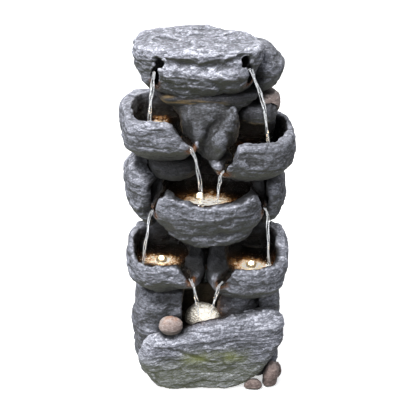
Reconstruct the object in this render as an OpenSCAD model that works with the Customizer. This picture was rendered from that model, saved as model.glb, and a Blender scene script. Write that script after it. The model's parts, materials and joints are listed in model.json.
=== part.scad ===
// Tall table fountain of stacked hollow-cast stone bowls, with a pump in its base.
// Millimetres, +Z up, front towards -Y, origin on the ground under the middle of the outline.

/* [Stack] */
// Height of the upper face of the cap stone
cap_top = 600; // [598:1:606]
// Thickness of the flat cap stone
cap_t = 26; // [20:1:30]
// Height of the rim of the upper left bowl
upper_left_rim = 497; // [494:1:499]
// Height of the rim of the upper right bowl
upper_right_rim = 454; // [450:1:458]
// Height of the rim corners of the middle bowl
middle_rim = 376; // [372:1:378]
// Height of the rim of the lower left bowl
lower_left_rim = 256; // [252:1:260]
// Height of the rim of the lower right bowl
lower_right_rim = 256; // [252:1:260]

/* [Casting] */
// Wall thickness of the hollow castings
wall = 10; // [8:0.5:12]
// Bond line left between neighbouring castings
bond = 0.4; // [0.3:0.1:0.8]
// Depth of the chipped relief as a part of each stone's size
relief = 0.014; // [0:0.002:0.02]
// Height of the rubber feet
foot_h = 4; // [3:0.5:6]

/* [Door] */
// Width of the access door on the back
door_w = 92; // [80:1:96]
// Height of the access door
door_h = 84; // [70:1:88]
// Thickness of the access door
door_t = 6; // [4:0.5:8]
// Diameter of the door's hinge pin
hinge_pin_d = 3; // [2:0.5:4]

/* [Pump] */
// Width of the pump housing
pump_w = 54; // [46:1:64]
// Length of the pump housing from front to back
pump_len = 40; // [34:1:48]
// Height of the pump housing
pump_h = 44; // [40:1:52]
// Diameter of the impeller
impeller_d = 24; // [18:1:28]
// Bore of the riser tube
tube_bore = 10; // [8:0.5:12]
// Wall of the riser tube
tube_wall = 2; // [1.5:0.5:2.5]

/* [Lamps] */
// Diameter of a lamp's lens
lens_d = 9; // [6:0.5:11]
// Diameter of a lamp's flange
lamp_flange_d = 18; // [15:0.5:22]
// Diameter of a lamp's stem, which passes the bowl's floor
lamp_stem_d = 10; // [8:0.5:12]

/* [Hidden] */
$fn = 48;
big = 400;                      // larger than any stone
floor_z = foot_h + 9;           // upper face of the reservoir's floor
base_top = 175;                 // upper edge of the base casting
column_top = cap_top - 79;      // upper end of the core column
cap_bottom = cap_top - cap_t;   // the cap rests on the top bowl here
shelf_z = 106;                  // upper face of the splash shelf
column_front = 6;               // front face of the core column
back_flat = 107;                // flat seat of the door on the base's back
door_z = 68;                    // lower edge of the access door
pump_y = 24;                    // the pump housing stands on this line
pump_z = floor_z + 3;           // underside of the pump housing, above its cups
chamber_y = pump_y + pump_len / 2;   // back face of the pump housing, where its cover slides on
axis_z = pump_z + pump_h * 0.45;     // line of the impeller
tube_d = tube_bore + 2 * tube_wall;
tube_y = chamber_y - 9;         // the riser tube stands straight above the pump's outlet
nozzle_z = column_top + 26;     // upper end of the riser tube
hinge_x = -door_w / 2 + 2;      // line of the door's hinge pin
hinge_y = back_flat + door_t + 1;
latch_x = door_w / 2 + 7;       // the turn latch pivots beside the door
latch_z = door_z + door_h / 2;
gland_x = 76;
gland_z = 132;
splice_at = [70, 52, 140];      // front end of the waterproof splice
lead_r = 1.6;                   // half the thickness of a lamp lead
pump_lead_r = 2.2;              // half the thickness of the pump's lead
door_gap = 10;                  // lap of the door around its opening
gland_bore = 12.2;
screw_d = 3;                    // latch screw

// Where each lamp stands: x, y and the height of the bowl's floor under it
lamp_upper_left = [-80, -22, 454];
lamp_upper_right = [76, -38, 412];
lamp_middle = [-14, -40, 334];
lamp_lower_left = [-80, -36, 214];
lamp_lower_right = [74, -44, 208];
lamp_splash = [4, -27, shelf_z];

// ---------- shaping helpers ----------

// Point at t (0 to 1) on a smooth curve between points i and i + 1 of a closed outline
function curve_point(p, i, t) =
    let (n = len(p), a = p[(i + n - 1) % n], b = p[i], c = p[(i + 1) % n], d = p[(i + 2) % n])
    0.5 * (2 * b + (c - a) * t + (2 * a - 5 * b + 4 * c - d) * t * t + (3 * b - a - 3 * c + d)
        * t * t * t);

// Closed outline through the given points, with k short edges to each span
function smooth(p, k) = [for (i = [0 : len(p) - 1], j = [0 : k - 1]) curve_point(p, i, j / k)];

// The same outline, turned to run anticlockwise seen from above
function anticlockwise(p) =
    let (n = len(p), turn = sum_of([for (i = [0 : n - 1]) cross(p[i], p[(i + 1) % n])]))
    turn > 0 ? p : [for (i = [n - 1 : -1 : 0]) p[i]];

function middle(p) = [for (axis = [0, 1]) sum_of([for (q = p) q[axis]]) / len(p)];
function sum_of(v, i = 0) = i < len(v) ? v[i] + sum_of(v, i + 1) : 0;

// Repeatable chip depth for corner i of ring j, between -1 and 1
function chip(i, j, seed) = sin(i * 137.5 + seed * 71) * cos(i * 53.1 + j * 97.3 + seed * 29);

// A stone is a smooth outline carried up through rings. Each ring is [height, scale, shift x, shift y].
// grow swells the stone, so that a neighbour can be cut back to leave the bond line.
module stone(plan, rings, seed = 1, grow = 0, chips = relief, k = 2) {
    outline = smooth(anticlockwise(plan), k);
    n = len(outline);
    last = len(rings) - 1;
    mid = middle(outline);
    swell = 1 + grow / min([for (q = outline) norm(q - mid)]);
    skin = [for (j = [0 : last], i = [0 : n - 1])
        let (r = rings[j], s = r[1] * swell * (1 + chips * chip(i, j, seed)),
             q = mid + (outline[i] - mid) * s + [r[2], r[3]])
        [q.x, q.y, r[0] + (j == 0 ? -grow : j == last ? grow : 0)]];
    ends = [
        [mid.x + rings[0][2], mid.y + rings[0][3], rings[0][0] - grow],
        [mid.x + rings[last][2], mid.y + rings[last][3], rings[last][0] + grow]];
    sides = [for (j = [0 : last - 1], i = [0 : n - 1])
        let (a = j * n + i, b = j * n + (i + 1) % n) each [[a, a + n, b + n], [a, b + n, b]]];
    lower = [for (i = [0 : n - 1]) [n * (last + 1), i, (i + 1) % n]];
    upper = [for (i = [0 : n - 1]) [n * (last + 1) + 1, last * n + (i + 1) % n, last * n + i]];
    polyhedron(concat(skin, ends), concat(sides, lower, upper));
}

// One facetted skin from stones that are joined and carved
module carved() {
    resize([0, 0, 0]) children();
}

// Groove that a bowl pours through, from the basin to the lip, open upwards
module spout(from, to, wide, narrow) {
    hull() {
        translate(from) cylinder(h = 120, d1 = wide * 0.55, d2 = wide * 2, $fn = 12);
        translate(to) cylinder(h = 120, d1 = narrow * 0.6, d2 = narrow * 4, $fn = 12);
    }
}

// Rings of a bowl's outside: height above its underside as a part of its height, and scale
function bowl_rings(bottom, rim, tuck) = [for (r = [
    [0, 0.68, tuck], [0.12, 0.84, tuck / 2], [0.3, 0.95, 0], [0.5, 1, 0], [0.74, 1, 0],
        [0.9, 0.97, 0], [1, 0.9, 0]])
    [bottom + (rim - bottom) * r[0], r[1], 0, r[2]]];

// Rings of a basin: rounded floor, then walls that open a little up to well past the rim
function basin_rings(floor, rim) = [
    [floor, 0.66, 0, 0], [floor + 6, 0.82, 0, 0], [floor + 18, 0.93, 0, 0], [rim, 1.02, 0, 0],
        [rim + 40, 1.1, 0, 0]];

// Rings of the hollow under a basin's floor
function under_rings(bottom, floor) = [
    [bottom + wall, 0.55, 0, 0], [bottom + 1.8 * wall, 0.7, 0, 0], [floor - wall, 0.78, 0, 0]];

// Round run along points, rounded at each corner
module tube_run(path, r) {
    for (i = [0 : len(path) - 2]) hull() {
        translate(path[i]) sphere(r, $fn = 8);
        translate(path[i + 1]) sphere(r, $fn = 8);
    }
}

// ---------- core ----------

// Three hollow stones stacked at the back carry the tube and the leads
low_column_plan = [[-98, 8], [-40, 6], [40, 6], [98, 8], [108, 40], [95, 86], [52, 106], [4, 115],
    [-58, 108], [-100, 82], [-106, 40]];
mid_column_plan = [[-98, 8], [-40, 6], [40, 6], [98, 8], [103, 44], [98, 76], [64, 108], [-2, 112],
    [-52, 106], [-92, 88], [-108, 44]];
high_column_plan = [[-98, 8], [-40, 6], [40, 6], [98, 8], [107, 36], [90, 84], [50, 104], [-4, 110],
    [-62, 106], [-98, 78], [-104, 36]];
low_column_rings = [[base_top + bond, 0.9, 0, 0], [184, 0.98, 0, 0], [212, 1.04, -2, 0],
    [244, 1.02, 0, 0],
    [260, 0.97, 2, 0], [268.6, 0.88, 2, 0]];
mid_column_rings = [[268.6 + bond, 0.86, 0, 0], [276, 0.96, 3, 0], [302, 1.04, 2, 0], [344, 1.05, 0, 0],
    [374, 1, -2, 0], [388.6, 0.9, -2, 0]];
high_column_rings = [[388.6 + bond, 0.88, 0, 0], [398, 0.97, -3, 0], [426, 1.04, -2, 0],
    [462, 1.02, 0, 0],
    [488, 0.95, 0, 0], [504, 0.86, 0, -3], [column_top, 0.78, 0, -6]];

// A column stone's outside, cut flat in front where the bowls are bonded on
module column_mass(plan, rings, seed, grow = 0) {
    intersection() {
        stone(plan, rings, seed = seed, grow = grow, k = 3);
        translate([-big / 2, column_front - grow, 0]) cube([big, big, 2 * big]);
    }
}

// Takes the column's space out of a stone that is bonded to it
module beside_column() {
    difference() {
        children();
        column_mass(low_column_plan, low_column_rings, 3, bond);
        column_mass(mid_column_plan, mid_column_rings, 4, bond);
        column_mass(high_column_plan, high_column_rings, 5, bond);
    }
}

module column_stone(plan, rings, seed, lamps) {
    top = rings[len(rings) - 1][0];
    color("dimgray") carved() difference() {
        column_mass(plan, rings, seed);
        // hollow inside, open at both ends
        intersection() {
            stone(plan, [for (r = rings) [r[0], r[1] * 0.86, r[2], r[3]]], chips = 0);
            translate([-big / 2, column_front + wall, 0]) cube([big, big, 2 * big]);
        }
        for (z = [rings[0][0] - 5, top - 25]) translate([0, 56, z]) cylinder(h = 30, d = 70, $fn = 24);
        // windows behind the hollow bowls, for the lamp leads
        for (lamp = lamps) translate([lamp.x * 0.8 - 12, 0, lamp.z - 32]) cube([24, 30, 16]);
    }
}

module column_stone_low() {
    column_stone(low_column_plan, low_column_rings, 3, [lamp_lower_left, lamp_lower_right]);
}

module column_stone_mid() {
    column_stone(mid_column_plan, mid_column_rings, 4, [lamp_middle]);
}

module column_stone_high() {
    column_stone(high_column_plan, high_column_rings, 5, [lamp_upper_left, lamp_upper_right]);
}

// ---------- base ----------

base_plan = [[-132, -22], [-131, 34], [-112, 84], [-62, 110], [0, 114.6], [60, 110], [108, 86],
    [126, 36],
    [127, -22], [118, -70], [72, -86], [0, -87], [-80, -88], [-122, -72]];

module base_mass(grow = 0) {
    stone(base_plan, [[foot_h, 0.93, 0, 0], [22, 0.97, 0, 0], [64, 0.985, 0, 0], [104, 1, 0, 0],
        [112, 0.985, 0, 0], [150, 0.98, 0, 0], [168, 0.95, 0, 0], [base_top, 0.91, 0, 0]],
            seed = 5, grow = grow, k = 3);
}

module base_basin() {
    color("slategray") difference() {
        carved() difference() {
            base_mass();
            // reservoir, open above
            intersection() {
                stone(base_plan, [[floor_z, 0.86, 0, 0], [floor_z + 10, 0.885, 0, 0],
                    [base_top - 22, 0.885, 0, 0],
                    [base_top - 10, 0.66, 0, 4], [base_top + 20, 0.64, 0, 4]], chips = 0);
                translate([-big / 2, -big, 0]) cube([big, big + back_flat - wall, big]);
            }
            // cave mouth behind the falling water
            hull() {
                translate([-46, -130, shelf_z + 1]) cube([142, 80, 10]);
                translate([-42, -130, base_top + 10]) cube([124, 80, 10]);
            }
            // flat seat for the door, the latch and the gland
            translate([-door_w / 2 - 6, back_flat, door_z - 6]) cube([door_w + 50, 40, door_h + 12]);
            // door opening
            translate([-door_w / 2 + door_gap, back_flat - 40,
                door_z + 6]) cube([door_w - 2 * door_gap, 60, door_h - 12]);
        }
        // bores for the gland, the latch screw and the hinge pin
        translate([gland_x, back_flat - 30, gland_z]) rotate([-90, 0, 0]) cylinder(h = 50,
            d = gland_bore);
        translate([latch_x, back_flat - 8, latch_z]) rotate([-90, 0, 0]) cylinder(h = 20, d = screw_d);
    }
    // two knuckles that carry the hinge pin
    color("slategray") for (z = [door_z + 12, door_z + door_h - 20]) difference() {
        translate([hinge_x - 10, back_flat - 1, z]) cube([10 - door_t / 2 + 5.5, door_t + 5, 8]);
        translate([hinge_x, hinge_y, z - 1]) cylinder(h = 10, d = hinge_pin_d + 0.05);
        translate([hinge_x - 3, back_flat + 0.2, z - 1]) cube([20, door_t - 1.6, 10]);
    }
}

// Outline of the leaning slab, seen from the front: x and height
slab_front = [[-118, 56], [-115, 82], [-102, 100], [-84, 107], [-62, 104], [-44, 114], [-14, 128],
    [24, 137],
    [62, 148], [96, 156], [118, 151], [129, 130], [128, 102], [116, 74], [92, 38], [64, 12], [30, 1.5],
    [-20, 2.5], [-66, 1.5], [-90, 6], [-106, 26]];

module front_slab() {
    color("slategray") carved() intersection() {
        rotate([90, 0, 0]) stone(slab_front, [[88.5, 0.96, 0, 0], [94, 1, 0, 0], [104, 1, 0, 0],
            [112, 0.955, 0, -2],
            [117, 0.87, 0, -3]], seed = 8);
        difference() {
            translate([-big / 2, -big / 2, 1]) cube(big);
            base_mass(bond);
        }
    }
}

module round_pebble() {
    color("rosybrown") stone([[-85, -100], [-78, -114], [-60, -117], [-44, -108], [-44, -96],
        [-60, -89], [-78, -90]],
        [[109, 0.4, 0, 0], [113, 0.78, 0, 0], [122, 1, 0, 0], [132, 0.93, 0, 0], [139, 0.68, 0, 0],
            [143, 0.3, 0, 0]],
        seed = 2);
}

module foot_pebbles() {
    color("dimgray") {
        stone([[96, -100], [104, -112], [119, -108], [122, -92], [112, -80], [100, -86]],
            [[1, 0.55, -4, 0], [8, 0.9, -2, 0], [22, 1, 0, 0], [36, 0.8, 2, 0], [44, 0.4, 2, 0]],
                seed = 4);
        stone([[63, -112], [80, -117], [93, -112], [92, -104], [80, -102], [66, -104]],
            [[1, 0.8, 0, 0], [6, 1, 0, 0], [14, 0.9, 0, 0], [20, 0.5, 0, 0]], seed = 6);
        stone([[99, -78], [110, -76], [120, -66], [124, -58], [112, -66], [100, -72]],
            [[1, 0.7, 6, -8], [8, 1, 6, -8], [22, 0.9, 6, -8], [32, 0.5, 5, -8]], seed = 7, chips = 0);
    }
}

// Shelf across the base that catches the last fall and returns it to the reservoir
module splash_shelf() {
    color("darkslategray") difference() {
        carved() difference() {
            intersection() {
                stone(base_plan, [[shelf_z - 12, 0.875, 0, 0], [base_top - 24, 0.875, 0, 0]],
                    chips = 0);
                // floor of the cave and the wall behind it
                union() {
                    translate([-big / 2, -big + 4, 0]) cube([big, big, shelf_z]);
                    translate([-big / 2, -4, 0]) cube([big, 8, big]);
                }
            }
            // return slots along the back edge
            for (x = [-48 : 24 : 72]) translate([x - 8, -16, shelf_z - 20]) cube([14, 8, 26]);
        }
        lamp_bore(lamp_splash);
    }
}

module splash_stone() {
    color("antiquewhite") stone([[-42, -58], [-30, -76], [-9, -81], [12, -76], [24, -58],
        [12, -42], [-9, -37], [-30, -42]],
        [[shelf_z + 1 + bond, 0.96, 0, 0], [shelf_z + 9, 1, 0, 0], [shelf_z + 21, 0.87, 0, 0],
            [shelf_z + 31, 0.6, 0, 0],
         [shelf_z + 36, 0.3, 0, 0]], seed = 9, chips = 0);
}

// ---------- lower tier ----------

module lower_left_mass(grow = 0) {
    stone([[-139, -25], [-137, 8], [-126, 40], [-104, 52], [-60, 30], [-20, 8], [-6, -30],
        [-8, -76], [-17, -104],
        [-28, -113], [-56, -114], [-90, -115], [-118, -104], [-134, -72]],
        bowl_rings(base_top + 1.4, lower_left_rim, 12), seed = 11, grow = grow);
}

module lower_left_bowl() {
    basin = [[-127, -32], [-121, 2], [-98, 20], [-60, 14], [-36, -8], [-32, -56], [-44, -88],
        [-62, -97],
        [-86, -102], [-110, -94], [-123, -64]];
    color("slategray") difference() {
        carved() difference() {
            beside_column() lower_left_mass();
            stone(basin, basin_rings(lamp_lower_left.z, lower_left_rim), seed = 12, chips = 0.008);
            stone(basin, under_rings(base_top + 1.4, lamp_lower_left.z), chips = 0);
            translate([lamp_lower_left.x * 0.8 - 14, -30, lamp_lower_left.z - 26]) cube([28, 60, 14]);
            spout([-54, -66, lamp_lower_left.z + 8], [-23, -120, lamp_lower_left.z - 2], 22, 9);
        }
        lamp_bore(lamp_lower_left);
    }
}

module lower_right_bowl() {
    basin = [[117, -40], [115, 0], [96, 22], [60, 14], [36, -8], [30, -56], [40, -92], [62, -103],
        [88, -101], [108, -88], [117, -66]];
    color("slategray") difference() {
        carved() difference() {
            beside_column() stone([[137, -20], [134, 20], [122, 44], [100, 52], [60, 30], [20, 8],
                [4, -30], [2, -76],
                [9, -104], [20, -113], [46, -115], [82, -116], [112, -108], [130, -78]],
                [[162, 0.64, 0, 12], [170, 0.82, 0, 8], [184, 0.94, 0, 2], [192, 0.95, 0, 0],
                    [196, 1.0, 0, 0],
                 [232, 1.02, 0, 0], [248, 0.98, 0, 0], [lower_right_rim, 0.91, 0, 0]], seed = 13);
            lower_left_mass(bond);
            base_mass();
            stone(basin, basin_rings(lamp_lower_right.z, lower_right_rim), seed = 14, chips = 0.008);
            stone(basin, under_rings(166, lamp_lower_right.z), chips = 0);
            translate([lamp_lower_right.x * 0.8 - 14, -30, lamp_lower_right.z - 26]) cube([28, 60, 14]);
            spout([52, -64, lamp_lower_right.z + 8], [16, -120, lamp_lower_right.z + 1], 22, 9);
        }
        lamp_bore(lamp_lower_right);
    }
}

module lower_neck_stone() {
    color("dimgray") carved() beside_column() stone([[-38, -10], [-30, -52], [-6, -66], [22, -62],
        [40, -40], [42, -8],
        [20, 10], [-24, 10]],
        [[233 + 26, 0.72, 0, 0], [264, 0.9, 0, 0], [274, 1, 0, 0], [275.4, 0.98, 0, 0]], seed = 15);
}

// ---------- middle tier ----------

middle_plan = [[-96, -34], [-93, -72], [-78, -96], [-58, -109], [-28, -115], [6, -117], [38, -115],
    [66, -107],
    [84, -92], [95, -66], [96, -30], [94, 12], [0, 20], [-94, 12]];

module middle_mass(grow = 0) {
    stone(middle_plan, [[293.2, 0.86, 0, -6], [306, 0.94, 0, -2], [322, 0.98, 0, 0], [346, 1, 0, 0],
        [364, 0.99, 0, 0], [middle_rim, 0.94, 0, 0]], seed = 17, grow = grow);
}

module middle_bowl() {
    basin = [[-76, -46], [-56, -76], [-36, -94], [4, -103], [34, -98], [54, -84], [70, -66],
        [78, -30], [66, -2],
        [0, 0], [-66, -2]];
    color("slategray") difference() {
        carved() difference() {
            beside_column() middle_mass();
            stone(basin, basin_rings(lamp_middle.z, middle_rim), seed = 18, chips = 0.008);
            stone(basin, under_rings(291, lamp_middle.z), chips = 0);
            translate([lamp_middle.x - 14, -30, lamp_middle.z - 26]) cube([28, 60, 14]);
            // the front of the rim dips in a long curve
            translate([6, -70, 350 + 84]) rotate([90, 0, 0]) cylinder(h = 60, r = 84, $fn = 60);
            // a groove at each corner leads the water down to the lower bowls
            spout([-66, -48, 352], [-98, -96, 318], 18, 13);
            spout([68, -46, 352], [102, -92, 318], 18, 13);
        }
        lamp_bore(lamp_middle);
    }
}

module ledge_mass(grow = 0) {
    stone(middle_plan, [[276, 0.5, 2, -16], [281, 0.68, 2, -12], [288, 0.82, 0, -8],
        [292.8, 0.875, 0, -6]],
        seed = 19, grow = grow);
}

module middle_ledge_stone() {
    color("dimgray") carved() beside_column() ledge_mass();
}

module middle_left_rock() {
    color("slategray") carved() difference() {
        beside_column() stone([[-141, -12], [-137, 26], [-122, 48], [-104, 44], [-84, 6],
            [-84, -44], [-98, -76],
            [-116, -78], [-134, -52]],
            [[284, 0.34, 14, -4], [296, 0.56, 10, -2], [312, 0.8, 4, 0], [334, 0.97, 0, 0],
                [360, 1, 0, 0],
             [378, 0.96, 0, 0], [392, 0.82, 4, 4], [400, 0.55, 8, 8]], seed = 21);
        middle_mass(bond);
        ledge_mass(bond);
        neck_mass(bond);
    }
}

module middle_right_rock() {
    color("slategray") carved() difference() {
        beside_column() stone([[131, -10], [128, 26], [110, 50], [92, 40], [82, 0], [84, -44],
            [98, -72],
            [114, -70], [127, -44]],
            [[288, 0.36, -12, 0], [300, 0.62, -8, 0], [318, 0.88, -2, 0], [340, 1, 0, 0],
                [358, 1, 0, 0],
             [369, 0.88, -2, 2], [376.6, 0.6, -4, 4]], seed = 22);
        middle_mass(bond);
        ledge_mass(bond);
    }
}

module neck_mass(grow = 0) {
    stone([[-102, -24], [-90, -62], [-58, -78], [-28, -72], [-12, -42], [-14, 10], [-54, 14],
        [-96, 10]],
        [[377, 0.66, 0, 0], [382, 0.86, 0, 0], [392, 1, 0, 0], [404, 0.97, 0, 0], [412.4, 0.8, 0, 0]],
        seed = 23, grow = grow);
}

module middle_neck_stone() {
    color("dimgray") carved() beside_column() neck_mass();
}

// ---------- upper tier ----------

module upper_left_mass(grow = 0) {
    stone([[-144, -22], [-142, 20], [-128, 50], [-106, 60], [-60, 40], [-22, 8], [-11, -30],
        [-12, -72], [-13, -100],
        [-24, -112], [-52, -114], [-88, -115], [-120, -104], [-137, -70]],
        bowl_rings(413, upper_left_rim, 12), seed = 31, grow = grow);
}

module upper_left_bowl() {
    basin = [[-122, -22], [-118, 14], [-96, 28], [-60, 20], [-34, -6], [-32, -56], [-46, -84],
        [-80, -93],
        [-106, -80], [-118, -54]];
    color("slategray") difference() {
        carved() difference() {
            beside_column() upper_left_mass();
            stone(basin, basin_rings(lamp_upper_left.z, upper_left_rim), seed = 32, chips = 0.008);
            stone(basin, under_rings(413, lamp_upper_left.z), chips = 0);
            translate([lamp_upper_left.x * 0.8 - 14, -30, lamp_upper_left.z - 26]) cube([28, 60, 14]);
            spout([-54, -60, lamp_upper_left.z + 6], [-20, -120, lamp_upper_left.z - 8], 24, 9);
        }
        lamp_bore(lamp_upper_left);
    }
}

module upper_right_mass(grow = 0) {
    stone([[143.5, -5], [141, 35], [124, 62], [92, 56], [50, 30], [20, 8], [2, -30], [1, -75],
        [7, -103], [20, -113],
        [46, -114], [80, -115], [112, -108], [134, -78], [143, -42]],
        bowl_rings(380, upper_right_rim, 12), seed = 33, grow = grow);
}

// The lobe that shields the right bowl's spout from the left one
module spout_lobe() {
    stone([[1, -70], [4, -94], [14, -104], [25, -92], [30, -60], [26, -20], [12, -6], [2, -30]],
        [[404, 0.6, 2, 0], [418, 0.85, 1, 0], [440, 1, 0, 4], [462, 0.92, 2, 12],
            [478, 0.72, 5, 20], [488, 0.4, 8, 26]],
        seed = 34);
}

module upper_right_bowl() {
    basin = [[130, -8], [126, 32], [102, 42], [62, 30], [38, 0], [34, -52], [42, -84], [62, -92],
        [98, -87],
        [116, -68], [127, -38]];
    color("slategray") difference() {
        carved() difference() {
            beside_column() union() {
                upper_right_mass();
                spout_lobe();
            }
            upper_left_mass(bond);
            stone(basin, basin_rings(lamp_upper_right.z, upper_right_rim), seed = 35, chips = 0.008);
            stone(basin, under_rings(380, lamp_upper_right.z), chips = 0);
            translate([lamp_upper_right.x * 0.8 - 14, -30, lamp_upper_right.z - 26]) cube([28, 60, 14]);
            spout([56, -62, lamp_upper_right.z + 6], [19, -120, lamp_upper_right.z - 6], 22, 9);
        }
        lamp_bore(lamp_upper_right);
    }
}

module saddle_stone() {
    color("slategray") carved() difference() {
        beside_column() stone([[-28, -66], [-10, -78], [12, -78], [33, -64], [34, -20], [30, 12],
            [-20, 12]],
            [[436, 0.16, -13, -50], [446, 0.34, -11, -38], [460, 0.6, -7, -20],
                [476, 0.84, -3, -8], [490, 1, 0, 0],
             [496.6, 0.92, 0, 4]], seed = 36);
        upper_left_mass(bond);
        upper_right_mass(bond);
        spout_lobe();
    }
}

module right_low_mass(grow = 0) {
    stone([[44, -28], [56, -52], [84, -58], [108, -44], [112, -20], [96, 0], [60, 2]],
        [[469, 0.72, 0, 0], [474, 0.93, 0, 0], [484, 1, 0, 0], [492, 0.92, 0, 0], [496, 0.7, 0, 0]],
        seed = 37, grow = grow);
}

module right_neck_stone_low() {
    color("dimgray") carved() beside_column() right_low_mass();
}

module right_neck_stone_high() {
    color("rosybrown") carved() difference() {
        beside_column() stone([[82, -28], [100, -32], [116, -16], [118, 12], [106, 34], [88, 40],
            [76, 10]],
            [[476, 0.66, 0, 0], [482, 0.9, 0, 0], [492, 1, 0, 0], [502, 0.9, 0, 0],
                [509, 0.66, 0, 0]], seed = 38);
        right_low_mass(bond);
    }
}

module neck_slab_mass(grow = 0) {
    stone([[-82, -18], [-76, -54], [-44, -66], [4, -71], [48, -64], [76, -46], [82, -14], [74, 14],
        [-74, 14]],
        [[498, 0.62, 4, -6], [502, 0.8, 3, -4], [509, 0.91, 0, -1], [511, 0.97, 0, 0], [518, 1, 0, 0],
         [column_top - 0.1, 0.98, 0, 0]], seed = 39, grow = grow);
}

module upper_neck_slab() {
    color("dimgray") carved() beside_column() neck_slab_mass();
}

// ---------- top ----------

top_plan = [[-121, -34], [-118, 8], [-105, 40], [-76, 62], [-36, 76], [6, 70], [44, 50], [74, 20],
    [87, -20],
    [82, -56], [60, -80], [14, -89], [-36, -89], [-84, -76], [-110, -60]];

module top_mass(grow = 0) {
    stone(top_plan, [[column_top + bond, 0.74, 4, 2], [530, 0.8, 3, 0], [540, 0.86, 2, -3],
        [556, 0.91, 1, -3],
        [566, 0.95, 0, -1], [cap_bottom - bond, 0.98, 0, 0]], seed = 41, grow = grow);
}

module top_bowl() {
    basin = [[-98, -30], [-94, 6], [-70, 44], [-30, 58], [10, 52], [50, 22], [66, -14], [60, -52],
        [14, -64], [-40, -64],
        [-82, -52]];
    color("slategray") difference() {
        carved() difference() {
            top_mass();
            stone(basin, [[541, 0.86, 0, 0], [548, 0.95, 0, 0], [620, 1, 0, 0]],
                seed = 42, chips = 0.008);
            // the two mouths that feed the upper bowls
            spout([-76, -40, 544], [-92, -110, 532], 12, 10);
            spout([54, -34, 544], [82, -96, 536], 12, 10);
            crown_mass(bond);
        }
        translate([0, tube_y, column_top - 20]) cylinder(h = 80, d = tube_d + 0.4);
    }
}

module cap_mass(grow = 0) {
    stone(top_plan, [[cap_bottom, 0.96, 0, 0], [cap_bottom + 6, 0.99, 0, 0], [cap_top - 9, 1, 0, 0],
        [cap_top - 3, 0.985, 0, 0], [cap_top, 0.93, 0, 0]], seed = 43, grow = grow);
}

// Rounded roof of a mouth, from over the basin out through the cap's front
module mouth_arch(from, to, r) {
    hull() {
        translate([from.x, from.y, cap_bottom + 2]) sphere(r - 1, $fn = 20);
        translate([to.x, to.y, cap_bottom + 11]) sphere(r, $fn = 20);
        translate([to.x, to.y, cap_bottom - 4]) sphere(r - 1, $fn = 20);
    }
}

module cap_stone() {
    color("lightslategray") carved() difference() {
        cap_mass();
        // relieved underneath over the basin
        stone(top_plan, [[cap_bottom - 2, 0.62, 0, 0], [cap_bottom + 10, 0.58, 0, 0]], chips = 0);
        // the mouths are arched up into the cap
        mouth_arch([-76, -50], [-83, -98], 9);
        mouth_arch([54, -40], [72, -92], 8);
    }
}

module crown_mass(grow = 0) {
    stone([[80, -34], [100, -38], [118, -16], [125, 18], [117, 48], [98, 64], [70, 62], [62, 30],
        [70, 0]],
        [[510.4, 0.5, -8, 0], [520, 0.74, -4, 0], [533, 0.91, -1, 0], [550, 1, 0, 0],
            [562, 0.97, -1, 0],
         [566, 0.9, -3, 2], [577, 0.74, -8, 6], [587, 0.46, -15, 12]], seed = 44, grow = grow);
}

module crown_rock() {
    color("slategray") carved() difference() {
        beside_column() crown_mass();
        cap_mass(bond);
        neck_slab_mass(bond);
        // keeps the crown out of the top bowl's basin
        stone(top_plan, [[500, 0.72, 0, 0], [545, 0.8, 0, 0], [600, 0.84, 0, 0]], chips = 0);
    }
}

// ---------- back door ----------

module access_door() {
    color("slategray") difference() {
        union() {
            translate([hinge_x + 8, back_flat + bond, door_z]) cube([door_w - 12, door_t, door_h]);
            // raised rock relief in three courses
            for (i = [0 : 2]) translate([hinge_x + 12 + 3 * i, back_flat + door_t, door_z + 5 + i * 26])
                cube([door_w - 30 - 4 * i, 2.6, 22]);
            // knuckle between the two on the base
            translate([hinge_x, hinge_y, door_z + 26]) cylinder(h = door_h - 52, d = 8);
            translate([hinge_x, hinge_y - 4, door_z + 26]) cube([9, 3.6, door_h - 52]);
        }
        translate([hinge_x, hinge_y, door_z + 20]) cylinder(h = door_h, d = hinge_pin_d + 0.1);
    }
}

module door_hinge_pin() {
    color("silver") translate([hinge_x, hinge_y, door_z + 10]) cylinder(h = door_h - 20,
        d = hinge_pin_d);
}

// Turn latch, shown turned up, clear of the door
module door_latch() {
    color("black") translate([latch_x, back_flat, latch_z]) rotate([-90, 0, 0]) difference() {
        union() {
            translate([0, 0, 0.2]) cylinder(h = door_t + 3.4, d = 9);
            translate([0, 0, door_t + 1]) cylinder(h = 2.6, d = 12);
            translate([-4, -16, door_t + 1]) cube([8, 16, 2.6]);
            translate([0, -16, door_t + 1]) cylinder(h = 2.6, d = 8);
        }
        cylinder(h = 30, d = screw_d + 0.1);
    }
}

module latch_screw() {
    color("silver") translate([latch_x, back_flat, latch_z]) rotate([-90, 0, 0]) {
        translate([0, 0, -8]) cylinder(h = 8 + door_t + 3.7, d = screw_d);
        translate([0, 0, door_t + 3.7]) difference() {
            cylinder(h = 1.4, d = 6.5);
            translate([-4, -0.5, 0.7]) cube([8, 1, 2]);
        }
    }
}

// ---------- pump and water way ----------

module pump_housing() {
    color("black") difference() {
        translate([-pump_w / 2, pump_y - pump_len / 2, pump_z]) cube([pump_w, pump_len, pump_h]);
        // impeller chamber and the rotor's well
        translate([0, chamber_y - 14, axis_z]) rotate([-90, 0, 0]) cylinder(h = 20, d = impeller_d + 4);
        translate([0, chamber_y - 34, axis_z]) rotate([-90, 0, 0]) cylinder(h = 30, d = 14);
        // way up to the outlet
        translate([0, chamber_y - 9, axis_z]) cylinder(h = pump_h, d = 8);
        // blind bore for the shaft
        translate([0, chamber_y - 36, axis_z]) rotate([-90, 0, 0]) cylinder(h = 6, d = 2.5);
    }
}

module pump_outlet() {
    color("black") translate([0, tube_y, pump_z + pump_h]) difference() {
        union() {
            cylinder(h = 4, d = 18);
            cylinder(h = 22, d = tube_bore - 0.4);
        }
        translate([0, 0, -1]) cylinder(h = 30, d = 6);
    }
}

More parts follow.
